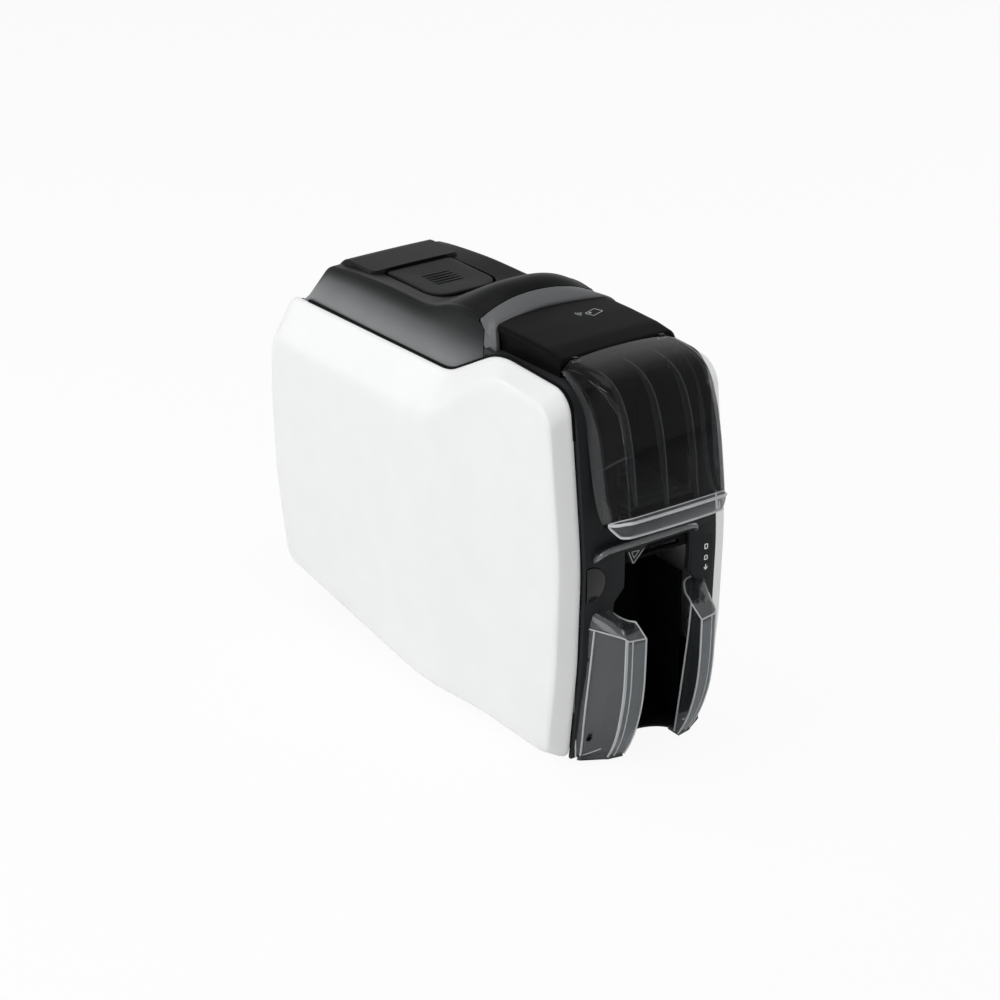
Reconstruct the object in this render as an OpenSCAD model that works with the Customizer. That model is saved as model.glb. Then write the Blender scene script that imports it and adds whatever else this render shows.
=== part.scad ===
/* [Body] */
// Depth from the front of the hopper door to the rear panel
body_depth = 398; // [390:1:410]
// Half width of the body between the side panels
core_half = 56.6; // [55:0.1:58]
// Gap between the body and each side panel's edge
panel_gap = 0.4; // [0.3:0.1:1]
// Wall of the moulded covers
cover_wall = 2.5; // [2:0.1:3]

/* [Side panels] */
// Distance of the panel's flat face from the centre plane at the rear
panel_face_rear = 79; // [74:0.5:84]
// Distance of the panel's flat face from the centre plane at the front
panel_face_front = 73; // [68:0.5:74]
// Where the step between the two faces starts, from the front of the door
panel_step_in = 123; // [110:1:130]
// Length of the step
panel_step_length = 64; // [50:1:80]
// Height of the straight edge that the bevel starts from
panel_edge_depth = 2.5; // [2:0.1:4]
// Wall of the side panels
panel_wall = 2.6; // [2:0.1:3.5]
// Radius of the bosses between panel and base
panel_boss_r = 4.5; // [4:0.1:6]

/* [Lid] */
// Height of the lid's roof where it meets the arch
roof_front_z = 291; // [290:0.5:292]
// Rise of the arch's crown over that roof
arch_rise = 15; // [13:0.5:18]
// Front of the arch band, from the front of the door
arch_in = 149; // [147:0.5:151]
// Distance of the lid's hinge axis from the rear
lid_hinge_in = 24; // [23.5:0.5:24.5]
// Lid hinge axis, height
lid_hinge_z = 243; // [242:0.5:245]
// Radius of the hinge pins of the lid
lid_pin_r = 2.5; // [2:0.1:3]
// Width of the latch button
latch_w = 57; // [50:0.5:60]
// Length of the latch button
latch_l = 52; // [46:0.5:56]
// Distance of the latch button from the print head, at the usual depth
latch_off = 64; // [60:0.5:68]
// Height of the latch button's face
latch_face_z = 277; // [275:0.5:278]
// How far the latch button travels
latch_travel = 3; // [2:0.1:4]

/* [Hopper door] */
// Half width of the door
door_half = 49; // [47:0.5:50]
// Wall of the clear door
door_wall = 2.4; // [2:0.1:3]
// Radius of the door's front corners
door_corner = 14; // [10:0.5:18]
// Distance of the door's hinge axis from the front of the door
door_hinge_in = 70.5; // [70:0.5:71]
// Door hinge axis, height
door_hinge_z = 286; // [285.5:0.1:286]
// Radius of the door's hinge pins
door_pin_r = 1.3; // [1:0.1:1.4]

/* [Card path] */
// Middle of the card path, across the width
path_x = 5; // [3:0.5:6]
// Underside of the card
card_z = 188; // [187:0.5:189]
// Card width with its side play
card_w = 56; // [55:0.5:57]
// Distance between the chassis plates
plate_gap = 60; // [58:0.5:62]
// Thickness of the chassis plates
plate_t = 2; // [1.5:0.1:2.5]
// Radius of the driven rollers
roller_r = 8; // [7:0.5:8.5]
// Radius of every roller journal
journal_r = 3; // [2.5:0.1:3.5]
// Running clearance of a journal in its bore
running_gap = 0.05; // [0.02:0.01:0.1]

/* [Gears] */
// Gear module, which also sets the rollers' spacing
gear_module = 1; // [0.96:0.01:1.02]
// Face width of the gears
gear_w = 6; // [4:0.5:8]

/* [Output] */
// Distance of the output hopper's space from the base's left side
bin_left_in = 22; // [21:0.5:23]
// Distance of the output hopper's space from the base's right side
bin_right_in = 13; // [12.5:0.5:15]
// Wall of the hopper bins
bin_wall = 1.8; // [1.5:0.1:2]
// Top of the output hopper's floor
bin_floor_z = 5.5; // [5:0.1:7]

/* [Controls] */
// Radius of the power button
power_r = 12.6; // [11:0.1:13]
// Distance of the power button's middle from the body's left side
power_in = 4.1; // [3.5:0.1:6]
// Power button, height
power_z = 141; // [138:0.5:143]
// Clearance round the buttons
button_gap = 0.4; // [0.3:0.1:0.6]
// Radius of the status light windows
light_r = 2.8; // [2:0.1:3.2]

/* [Feet] */
// Height of the feet
foot_h = 8; // [7:0.5:9]
// Radius of the feet
foot_r = 5.4; // [5:0.1:5.5]

/* [Hidden] */
$fn = 48;

front_y = -body_depth / 2;
rear_y = body_depth / 2;
edge_x = core_half + panel_gap;
seat_gap = 0.2;
arc_steps = 6;
roller_z = card_z - roller_r;
plate_left = path_x - plate_gap / 2;
plate_right = path_x + plate_gap / 2;
plate_bottom = foot_h + 3;
plate_top = 228.8;
frame_top = plate_top + 4.2;
chassis_front = front_y + 95.3;
chassis_rear = rear_y - 21;
arch_front = front_y + arch_in;
panel_step_front = front_y + panel_step_in;
door_hinge_y = front_y + door_hinge_in;
lid_hinge_y = rear_y - lid_hinge_in;

// Gear train: an idler between each two roller gears carries the drive on.
roller_teeth = 20;
idler_teeth = 40;
short_idler_teeth = 30;
pinion_teeth = 12;
gear_play = 0.5;
long_pitch = gear_module * (roller_teeth + idler_teeth);
short_pitch = gear_module * (roller_teeth + short_idler_teeth);
half_pitch = long_pitch / 2;

// Card path: places of the rollers along the depth.
kick_y = front_y + 49;
feed_y = kick_y + long_pitch;
transport_y = feed_y + short_pitch;
platen_y = transport_y + long_pitch;
exit_y = platen_y + long_pitch;
usual_depth = 398;
latch_y = platen_y + latch_off * body_depth / usual_depth;
motor_idler_z = roller_z - half_pitch;
motor_z = motor_idler_z - gear_module * (idler_teeth + pinion_teeth) / 2;

tray_top = 60;

// Corners of a side outline: depth, height and corner radius, from the top rear round by the bottom.
PANEL_EDGE = [
    [rear_y - 4.5, 241.5, 14], [rear_y + 0.3, 172, 200], [rear_y - 2.5, 105, 160], [rear_y - 17, 30.5, 14],
    [front_y + 209, 4.6, 200], [front_y + 46, 2, 10], [front_y + 37, 78, 250], [front_y + 34, 155, 300],
    [front_y + 47.5, 275.5, 19], [front_y + 127, 278.5, 60], [front_y + 186, 246.8, 45]];
PANEL_CREASE = [
    [rear_y - 8, 215, 16], [rear_y - 5, 168, 150], [rear_y - 8.5, 105, 120], [rear_y - 22, 37, 16],
    [front_y + 207, 10, 200], [front_y + 52, 8, 12], [front_y + 43, 78, 200], [front_y + 40, 155, 250],
    [front_y + 53, 265, 20], [front_y + 117, 270, 50], [front_y + 191, 215, 45]];
fascia_rear = arch_front - 2;
fascia_wall = 4;
FASCIA_FACE = [
    [front_y + 43, 3, 3], [front_y + 33, 78, 250], [front_y + 30, 155, 250], [front_y + 44, 278, 30],
    [fascia_rear, 276, 1]];
FASCIA_BACK = [
    [fascia_rear, 276 - fascia_wall, 1], [front_y + 44 + fascia_wall, 278 - fascia_wall, 26],
    [front_y + 30 + fascia_wall, 155, 250], [front_y + 33 + fascia_wall, 78, 250],
    [front_y + 43 + fascia_wall, 3, 1]];
REAR_FACE = [
    [rear_y - 9, 233.5, 2], [rear_y - 3.5, 222, 30], [rear_y - 0.8, 172, 200], [rear_y - 3.8, 105, 160],
    [rear_y - 12.6, tray_top + 0.3, 2]];
REAR_BACK = [
    [rear_y - 15.4, tray_top + 0.3, 1], [rear_y - 7, 105, 160], [rear_y - 4, 172, 200], [rear_y - 6.7, 222, 30],
    [rear_y - 12, 233.5, 1]];

// ---- outlines -------------------------------------------------------------------------------------------

function unit(v) = v / norm(v);
function turn(v, a) = [v[0] * cos(a) - v[1] * sin(a), v[0] * sin(a) + v[1] * cos(a)];
function cross2(a, b) = a[0] * b[1] - a[1] * b[0];
function ramp(t) = t <= 0 ? 0 : t >= 1 ? 1 : t * t * (3 - 2 * t);

// The arc that rounds corner p between a and b, as steps + 1 points.
function corner_arc(a, p, b, r, steps = arc_steps) =
    let (u = unit(a - p), v = unit(b - p), half = acos(max(-1, min(1, u * v))) / 2,
        reach = min(r / tan(half), 0.49 * norm(a - p), 0.49 * norm(b - p)), rr = reach * tan(half),
        centre = p + unit(u + v) * rr / sin(half), start = p + u * reach - centre,
        sweep = (cross2(u, v) > 0 ? -1 : 1) * (180 - 2 * half))
    [for (i = [0:steps]) centre + turn(start, sweep * i / steps)];

function flat(c) = [c[0], c[1]];
function rounded(c, steps = arc_steps) =
    [for (i = [0:len(c) - 1])
        each corner_arc(flat(c[(i + len(c) - 1) % len(c)]), flat(c[i]), flat(c[(i + 1) % len(c)]),
            c[i][2], steps)];
function pulled_in(c, d) =
    let (mid = [0, 130])
    [for (p = c) let (q = flat(p) + unit(mid - flat(p)) * d) [q[0], q[1], p[2]]];

// ---- shared solids --------------------------------------------------------------------------------------

module block(x, y, z) {
    translate([x[0], y[0], z[0]]) cube([x[1] - x[0], y[1] - y[0], z[1] - z[0]]);
}

module both_sides() {
    children();
    mirror([1, 0, 0]) children();
}

// Extrudes a depth-height outline across the width.
module across(x0, x1) {
    translate([x0, 0, 0]) rotate([90, 0, 90]) linear_extrude(x1 - x0) children();
}

// Extrudes a width-height outline along the depth.
module along(y0, y1) {
    translate([0, y1, 0]) rotate([90, 0, 0]) linear_extrude(y1 - y0) children();
}

module rod_x(x0, x1, y, z, r) {
    translate([x0, y, z]) rotate([0, 90, 0]) cylinder(r = r, h = x1 - x0);
}

module rod_y(y0, y1, x, z, r) {
    translate([x, y1, z]) rotate([90, 0, 0]) cylinder(r = r, h = y1 - y0);
}

// A straight-sided gear on an axis across the width, with a tooth or a gap towards the front.
module gear(x0, y, z, teeth, gap_first) {
    pitch_r = gear_module * teeth / 2;
    backlash = 0.25;
    tip = pitch_r + 0.85 * gear_module;
    root = pitch_r - 1.2 * gear_module;
    tooth = gear_module * PI / 2 - backlash;
    tip_angle = (tooth - 0.62 * gear_module) / tip * 90 / PI;
    root_angle = (tooth + 0.8 * gear_module) / root * 90 / PI;
    step = 360 / teeth;
    first = gap_first ? step / 2 : 0;
    points = [for (i = [0:teeth - 1]) each [
        for (c = [[-root_angle, root], [-tip_angle, tip], [tip_angle, tip], [root_angle, root]])
            let (a = first + i * step + c[0]) c[1] * [cos(a), sin(a)]]];
    translate([x0, y, z]) rotate([90, 0, 90]) linear_extrude(gear_w) polygon(points);
}

// ---- side panels ----------------------------------------------------------------------------------------

function panel_face(y) =
    panel_face_front + (panel_face_rear - panel_face_front) * ramp((y - panel_step_front) / panel_step_length);

// Rings from the panel's edge over the bevel to beyond its face, closed by a fan at each end.
module panel_solid(inset, edge_start) {
    edge = rounded(pulled_in(PANEL_EDGE, inset));
    crease = rounded(pulled_in(PANEL_CREASE, inset));
    n = len(edge);
    beyond = panel_face_rear + 4;
    rings = [
        [for (p = edge) [edge_start, p[0], p[1]]],
        [for (p = edge) [edge_x + panel_edge_depth - inset / 2, p[0], p[1]]],
        [for (p = crease) [panel_face(p[0]) - inset, p[0], p[1]]],
        [for (p = crease) [beyond, p[0], p[1]]]];
    points = [for (ring = rings) each ring, [edge_start, 0, 130], [beyond, 0, 130]];
    last = 3 * n;
    faces = [
        for (r = [0:2]) for (i = [0:n - 1]) let (a = r * n + i, b = r * n + (i + 1) % n)
            each [[a, b, a + n], [b, b + n, a + n]],
        for (i = [0:n - 1]) [4 * n, (i + 1) % n, i],
        for (i = [0:n - 1]) [4 * n + 1, last + i, last + (i + 1) % n]];
    intersection() {
        polyhedron(points, faces);
        translate([0, 0, -10]) linear_extrude(320) polygon([
            [edge_start - 1, front_y], [panel_face_front - inset, front_y], each [for (i = [0:12])
                let (y = panel_step_front + panel_step_length * i / 12) [panel_face(y) - inset, y]],
            [panel_face_rear - inset, rear_y + 10], [edge_start - 1, rear_y + 10]]);
    }
}

PANEL_BOSSES = [[front_y + 79, 24], [0, 30], [rear_y - 79, 44]];

module side_panel() {
    difference() {
        panel_solid(0, edge_x);
        panel_solid(panel_wall, edge_x - 1);
    }
    for (b = PANEL_BOSSES) rod_x(edge_x, panel_face(b[0]) - panel_wall + 0.2, b[0], b[1], panel_boss_r);
}

module right_side_panel() {
    color("white") side_panel();
}

module left_side_panel() {
    color("white") mirror([1, 0, 0]) side_panel();
}

// ---- base and frames ------------------------------------------------------------------------------------

base_half = core_half - 3.6;
bin_left = bin_left_in - base_half;
bin_right = base_half - bin_right_in;
base_front = front_y + 49;
bin_space = [bin_left - bin_wall - 0.6, bin_right + bin_wall + 0.6];
bin_rear = chassis_front - 0.4;
FLANGE_SCREWS = [chassis_front + 43.7, platen_y, rear_y - 89];
tray_wall = 3;
flange_w = base_half - tray_wall - plate_right - plate_t - 1;
screw_r = 1.5;
FEET = [[base_half - 5.5, front_y + 69], [base_half - 13, rear_y - 81]];

module base_tray() {
    color("dimgray") {
        difference() {
            across(-base_half, base_half) polygon([[base_front, foot_h], [rear_y - 49, foot_h], [rear_y - 15, 34],
                [rear_y - 15, tray_top], [base_front, tray_top]]);
            across(-base_half + tray_wall, base_half - tray_wall) polygon([[base_front - 1, foot_h + 3],
                [rear_y - 50, foot_h + 3], [rear_y - 15 - tray_wall, 36], [rear_y - 15 - tray_wall, tray_top + 1],
                [base_front - 1, tray_top + 1]]);
            block(bin_space, [base_front - 1, bin_rear + 1], [0, tray_top + 1]);
            for (y = FLANGE_SCREWS)
                for (x = [plate_left - flange_w / 2 - plate_t, plate_right + flange_w / 2 + plate_t])
                    translate([x, y, foot_h - 1]) cylinder(r = screw_r + running_gap, h = 5);
        }
        both_sides() for (b = PANEL_BOSSES)
            rod_x(base_half - 0.5, edge_x - seat_gap, b[0], b[1], panel_boss_r);
        block([inlet_x - 6, inlet_x + 6], [rear_y - 43, rear_y - 31], [foot_h + 2.5, inlet_z - 8 - seat_gap]);
    }
}

module feet() {
    color("black") both_sides() for (f = FEET)
        translate([f[0], f[1], 0]) cylinder(r = foot_r, h = foot_h);
}

// Plate with its screw flange outwards. s is -1 for the left one and 1 for the right one.
module chassis_plate(inner_x, s) {
    outer_x = inner_x + s * plate_t;
    lo = min(inner_x, outer_x);
    hi = max(inner_x, outer_x);
    journals = [feed_y, transport_y, platen_y, exit_y];
    difference() {
        across(lo, hi) polygon([[chassis_front, plate_bottom], [rear_y - 51, plate_bottom], [chassis_rear, 48],
            [chassis_rear, plate_top], [chassis_front, plate_top]]);
        for (y = journals) rod_x(lo - 1, hi + 1, y, roller_z, journal_r + running_gap);
        for (p = PINCH) rod_x(lo - 1, hi + 1, p[0], p[1], pinch_journal_r + running_gap);
        for (p = SPOOLS) rod_x(lo - 1, hi + 1, p[0], p[1], journal_r + running_gap);
        for (p = CROSS_BARS) rod_x(lo - 1, hi + 1, p[0], p[1], bar_r + running_gap);
        if (s < 0) {
            for (a = IDLERS) rod_x(lo - 1, hi + 1, a[0], a[1], axle_r + running_gap);
            rod_x(lo - 1, hi + 1, platen_y, motor_z, 4.5);
        }
        for (w = PLATE_WINDOWS) block([lo - 1, hi + 1], w, [tray_top, 128]);
    }
    block([min(outer_x, outer_x + s * flange_w), max(outer_x, outer_x + s * flange_w)], [chassis_front + 23.7, rear_y - 59],
        [plate_bottom, plate_bottom + plate_t]);
}

pinch_r = 6;
pinch_journal_r = 2;
card_room = 0.9;
pinch_z = card_z + card_room + pinch_r;
cleaning_z = card_z + card_room + roller_r;
PINCH = [[feed_y, cleaning_z], [transport_y, pinch_z], [exit_y, pinch_z]];
takeup_y = platen_y - 38;
supply_y = platen_y + 40;
spool_z = 212;
SPOOLS = [[takeup_y, spool_z], [supply_y, spool_z]];
bar_r = 2.5;
CROSS_BARS = [
    [chassis_front + 8.7, 30], [chassis_front + 8.7, 150], [platen_y + 20, 30], [rear_y - 69, 60],
    [rear_y - 49, 120], [rear_y - 34, 205], [platen_y - 16, 193.2], [platen_y + 16, 193.2]];
PLATE_WINDOWS = [[feed_y - 2, feed_y + 28], [transport_y - 10, transport_y + 32], [platen_y + 30, platen_y + 72]];
axle_r = 3;
IDLERS = [[feed_y + short_pitch / 2, roller_z], [transport_y + half_pitch, roller_z],
    [platen_y + half_pitch, roller_z], [platen_y, motor_idler_z]];

module flange_holes() {
    difference() {
        children();
        for (y = FLANGE_SCREWS)
            for (x = [plate_left - flange_w / 2 - plate_t, plate_right + flange_w / 2 + plate_t])
                translate([x, y, plate_bottom - 1]) cylinder(r = screw_r + running_gap, h = 5);
    }
}

module chassis_left() {
    color("silver") flange_holes() chassis_plate(plate_left, -1);
}

module chassis_right() {
    color("silver") flange_holes() chassis_plate(plate_right, 1);
}

module cross_bars() {
    color("gainsboro") for (p = CROSS_BARS)
        rod_x(plate_left - plate_t, plate_right + plate_t, p[0], p[1], bar_r);
}

module chassis_screws() {
    color("gainsboro") for (y = FLANGE_SCREWS)
        for (x = [plate_left - flange_w / 2 - plate_t, plate_right + flange_w / 2 + plate_t])
            translate([x, y, 0]) {
                translate([0, 0, foot_h + 0.2]) cylinder(r = screw_r, h = plate_bottom + plate_t - foot_h);
                translate([0, 0, plate_bottom + plate_t]) difference() {
                    cylinder(r = 3, h = 2);
                    translate([-2.2, -0.4, 1]) cube([4.4, 0.8, 2]);
                    translate([-0.4, -2.2, 1]) cube([0.8, 4.4, 2]);
                }
            }
}

hinge_ear = 4;
ear_in = core_half - 12.1;
ear_r = 4.2;

module lid_seat_frame() {
    color("dimgray") {
        difference() {
            block([-core_half + 0.2, core_half - 0.2], [arch_front + 2, rear_y - 12.6],
                [plate_top + seat_gap, frame_top]);
            block([plate_left - 4, plate_right + 4], [arch_front + 6, rear_y - 39], [plate_top - 1, frame_top + 1]);
        }
        difference() {
            both_sides() {
                rod_x(ear_in, ear_in + hinge_ear, lid_hinge_y, lid_hinge_z, ear_r);
                // The ear's foot leans forward, clear of the lid's rear wall as that swings under the axis.
                across(ear_in, ear_in + hinge_ear) polygon([[lid_hinge_y - 14, frame_top - 1],
                    [lid_hinge_y - 4.7, frame_top - 1], [lid_hinge_y - 1.7, lid_hinge_z - 3.8],
                    [lid_hinge_y, lid_hinge_z], [lid_hinge_y - 4, lid_hinge_z + 1]]);
            }
            rod_x(-60, 60, lid_hinge_y, lid_hinge_z, lid_pin_r + running_gap);
        }
    }
}

module rear_panel() {
    slots = 9;
    color("dimgray") difference() {
        across(-core_half, core_half) polygon(rounded(concat(REAR_FACE, REAR_BACK)));
        for (i = [0:slots - 1]) block([path_x - 24, path_x + 24], [rear_y - 20, rear_y + 2],
            [118 + i * 8, 121.5 + i * 8]);
        for (p = PORTS) block([p[0] - 0.6, p[0] + p[2] + 0.6], [rear_y - 24, rear_y + 2],
            [p[1] - 0.6, p[1] + p[3] + 0.6]);
        rod_y(rear_y - 24, rear_y + 2, inlet_x, inlet_z, inlet_r + 0.8);
    }
}

// ---- front ----------------------------------------------------------------------------------------------

module front_fascia() {
    opening = [path_x - card_w / 2, path_x + card_w / 2];
    color([0.22, 0.23, 0.24]) {
        difference() {
            across(-core_half, core_half) polygon(rounded(concat(FASCIA_FACE, FASCIA_BACK)));
            block([-40, 40], [front_y, fascia_in], [card_z - 9, 300]);
            along(front_y, fascia_in) polygon([[opening[0], 158], [opening[0], 131], [opening[0] - 8, 122],
                [bin_left - 0.4, 119], [bin_left - 0.4, -5], [bin_right + 0.4, -5], [bin_right + 0.4, 119],
                [opening[1] + 6, 122], [opening[1], 128], [opening[1], 158]]);
            intersection() {
                rod_y(front_y, fascia_in, power_x, power_z, power_r + button_gap);
                block([-core_half + 1, 0], [front_y, fascia_in], [100, 180]);
            }
            for (z = LIGHTS) rod_y(front_y, fascia_in, light_x, z, light_r + 0.1);
        }
        block([-core_half, core_half], [fascia_rear - 2.5, fascia_rear], [frame_top + seat_gap, 272.4]);
    }
}

light_x = core_half - 7.1;
power_x = power_in - core_half;
// Depth of the fascia's highest front line, and a place behind its wall.
fascia_y_top = front_y + 30;
fascia_in = front_y + 59;
LIGHTS = [146.5, 138.5, 129];

module head_section(inset) {
    half = door_half - inset;
    polygon([each rounded([[half, 262, 0.5], [half, 289 - inset, 7], [0, 292.5 - inset, 300],
        [-half, 289 - inset, 7], [-half, 262, 0.5]])]);
}

door_arm = [32.8, 35.8];
door_sweep_r = 5.3;

// Arm that carries the door's hinge pin, reaching forward under the door's rear edge.
module door_arm_solid() {
    y = door_hinge_y;
    z = door_hinge_z;
    difference() {
        union() {
            rod_x(door_arm[0], door_arm[1], y, z, door_pin_r + 1.1);
            across(door_arm[0], door_arm[1]) polygon([[y - 2, z - 1.4], [y - 1, z - 4.5], [y + 9, z - 4.5],
                [y + 9, z + 4.6], [y + door_sweep_r + 0.7, z + 4.6], [y + door_sweep_r + 0.7, z - 0.9],
                [y + 1, z - 0.9]]);
        }
        rod_x(door_arm[0] - 1, door_arm[1] + 1, y, z, door_pin_r + running_gap);
    }
}

module head_cover() {
    lip_y = door_hinge_y + 4.4;
    wall_y = door_hinge_y + door_sweep_r;
    color([0.1, 0.1, 0.11]) {
        difference() {
            along(lip_y, arch_front - 1.8) head_section(0);
            along(wall_y + cover_wall, arch_front) head_section(cover_wall);
            across(-60, 60) polygon([[front_y + 39, 250], [front_y + 39, 278.2], [arch_front, 278.2],
                [arch_front, 250]]);
            block([-60, 60], [lip_y - 1, wall_y], [270, door_hinge_z]);
            rod_x(-60, 60, door_hinge_y, door_hinge_z, door_sweep_r);
        }
        both_sides() door_arm_solid();
    }
}

module feed_visor() {
    back = fascia_y_top + 0.6;
    color("gray") across(-core_half + 6.6, path_x + card_w / 2 + 4) polygon(rounded([[back, 158.5, 0.4],
        [back - 4.6, 159.5, 1.5], [back - 7.6, 163.5, 2.5], [back - 5.6, 168.5, 2], [back, 170, 0.4]], 4));
}

module feed_slot_plate() {
    color("gray") difference() {
        block([path_x - card_w / 2 + 0.3, path_x + card_w / 2 - 0.3], [fascia_y_top + 2.5, fascia_y_top + 6],
            [148, 157.7]);
        block([path_x - 14, path_x + 20], [fascia_y_top + 1, fascia_y_top + 9], [151, 154]);
    }
}

module power_button() {
    color([0.25, 0.26, 0.27]) intersection() {
        rod_y(fascia_y_top - 0.3, fascia_y_top + 9, power_x, power_z, power_r);
        block([-core_half + 1.4, 0], [front_y, fascia_in], [100, 180]);
    }
}

module status_lights() {
    color("palegreen") for (z = LIGHTS) rod_y(fascia_y_top, fascia_y_top + 6, light_x, z, light_r);
}

// ---- hopper door ----------------------------------------------------------------------------------------

// Front of the door at each height, with the half width and the corner radius there.
DOOR_SLICES = [
    [178.5, front_y + 3.5, door_half - 2, door_corner], [189, front_y, door_half - 0.5, door_corner],
    [218, front_y + 2, door_half, door_corner], [241, front_y + 6, door_half, door_corner],
    [258, front_y + 11, door_half, door_corner], [272, front_y + 18.5, door_half, door_corner],
    [284, front_y + 29, door_half - 0.5, door_corner], [289, front_y + 42, door_half - 4, door_corner],
    [291, front_y + 62, door_half - 9, door_corner]];

// Rear edge of the door's sides: distance from its front, and height.
DOOR_REAR_EDGE = [
    [68, 281], [58, 276.5], [49, 270], [43, 262], [38, 240], [34, 216], [28, 197], [19, 187], [15, 183.5],
    [12, 175]];

module door_solid(inset, lowest) {
    crown = 3;
    crown_cut = 0.4;
    hull() for (s = DOOR_SLICES)
        if (s[0] >= lowest) translate([0, 0, s[0] - inset]) linear_extrude(0.05) polygon(rounded([
            [s[2] - inset, front_y + 99, 0.5], [s[2] - inset, s[1] + crown + inset, s[3] - inset],
            [0, s[1] + inset - crown_cut, 200], [inset - s[2], s[1] + crown + inset, s[3] - inset],
            [inset - s[2], front_y + 99, 0.5]], 5));
}

module hopper_door() {
    lip_top = 184;
    color([0.5, 0.5, 0.52, 0.4]) difference() {
        union() {
            difference() {
                door_solid(0, 0);
                intersection() {
                    union() {
                        door_solid(door_wall, 185);
                        block([-door_half + 8, door_half - 8], [front_y + 8, front_y + 99], [lip_top, 200]);
                    }
                    block([-60, 60], [front_y, 0], [lip_top, 300]);
                }
                across(-60, 60) polygon([[door_hinge_y + 0.5, 300], [door_hinge_y + 0.5, 284],
                    for (p = DOOR_REAR_EDGE) [front_y + p[0], p[1]], [0, 170], [0, 300]]);
            }
            both_sides() rod_x(door_arm[1] + 0.3, door_arm[1] + 3.3, door_hinge_y, door_hinge_z, door_pin_r + 1.6);
        }
        both_sides() rod_x(door_arm[1], door_arm[1] + 4, door_hinge_y, door_hinge_z,
            door_pin_r + running_gap);
    }
}

module door_hinge_pins() {
    color("silver") both_sides()
        rod_x(door_arm[0], door_arm[1] + 3.3, door_hinge_y, door_hinge_z, door_pin_r);
}

// ---- hoppers --------------------------------------------------------------------------------------------

module input_bin() {
    half = card_w / 2 + 1;
    walls = [kick_y - 12, bin_rear];
    flange_low = roller_z + gear_module * idler_teeth / 2 + 5;
    flange_half = core_half - 6.6;
    color([0.08, 0.08, 0.09]) difference() {
        union() {
            block([path_x - half, path_x + half], [front_y + 22, bin_rear], [card_z - 2.8, card_z]);
            for (x = [path_x - half - bin_wall, path_x + half])
                block([x, x + bin_wall], walls, [roller_z - 6, 268]);
            block([path_x - half, path_x + half], [bin_rear - bin_wall, bin_rear], [card_z + 4, 268]);
            block([-flange_half, path_x - half], [bin_rear - bin_wall, bin_rear], [flange_low, 268]);
            block([path_x + half, flange_half], [bin_rear - bin_wall, bin_rear], [flange_low, 268]);
        }
        block([path_x - 24, path_x + 24], [kick_y - roller_r - 1.5, kick_y + roller_r + 1.5],
            [card_z - 4, card_z + 1]);
        rod_x(-60, 60, kick_y, roller_z, journal_r + running_gap);
        rod_x(-60, path_x - half + 1, kick_y + half_pitch, roller_z, axle_r + running_gap);
    }
}

exit_z = 149;

module card_weight() {
    half = card_w / 2 - 1.5;
    color("gray") difference() {
        union() {
            block([path_x - half, path_x + half], [kick_y - 22, bin_rear - bin_wall - 0.5],
                [card_z + 0.4, card_z + 3.4]);
            block([path_x - half + 8, path_x + half - 8], [kick_y - 16, kick_y + 38], [card_z + 3.4, card_z + 6]);
        }
        block([path_x - 10, path_x + 10], [kick_y, kick_y + 22], [card_z + 4.4, card_z + 7]);
    }
}

module output_bin() {
    front = front_y + 23;
    color([0.06, 0.06, 0.07]) {
        difference() {
            block([bin_left, bin_right], [front, bin_rear], [3, bin_floor_z]);
            translate([(bin_left + bin_right) / 2, front - 8, 0]) cylinder(r = 17, h = 12);
        }
        for (x = [bin_left - bin_wall, bin_right])
            block([x, x + bin_wall], [front_y + 48, bin_rear], [3, 119]);
        difference() {
            union() {
                block([bin_left - bin_wall, bin_right + bin_wall], [bin_rear - bin_wall, bin_rear],
                    [bin_floor_z, 140]);
                block([plate_left - 1.5, plate_right + 1.5], [bin_rear - bin_wall, bin_rear], [139, 172]);
            }
            block([path_x - card_w / 2, path_x + card_w / 2], [bin_rear - 4, bin_rear + 1], [exit_z, exit_z + 7]);
        }
    }
}

// Front surface of the fascia, and of a wing, at a height.
function fascia_y(z) =
    let (low = FASCIA_FACE[0], knee = FASCIA_FACE[1], high = FASCIA_FACE[2])
    (z < knee[1] ? low[0] + (knee[0] - low[0]) * (z - low[1]) / (knee[1] - low[1])
        : knee[0] + (high[0] - knee[0]) * (z - knee[1]) / (high[1] - knee[1])) - 0.3;
function wing_lean(z) = let (t = min(1, max(0, (z - 4) / 101))) 1 - (1 - t) * (1 - t);

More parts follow.
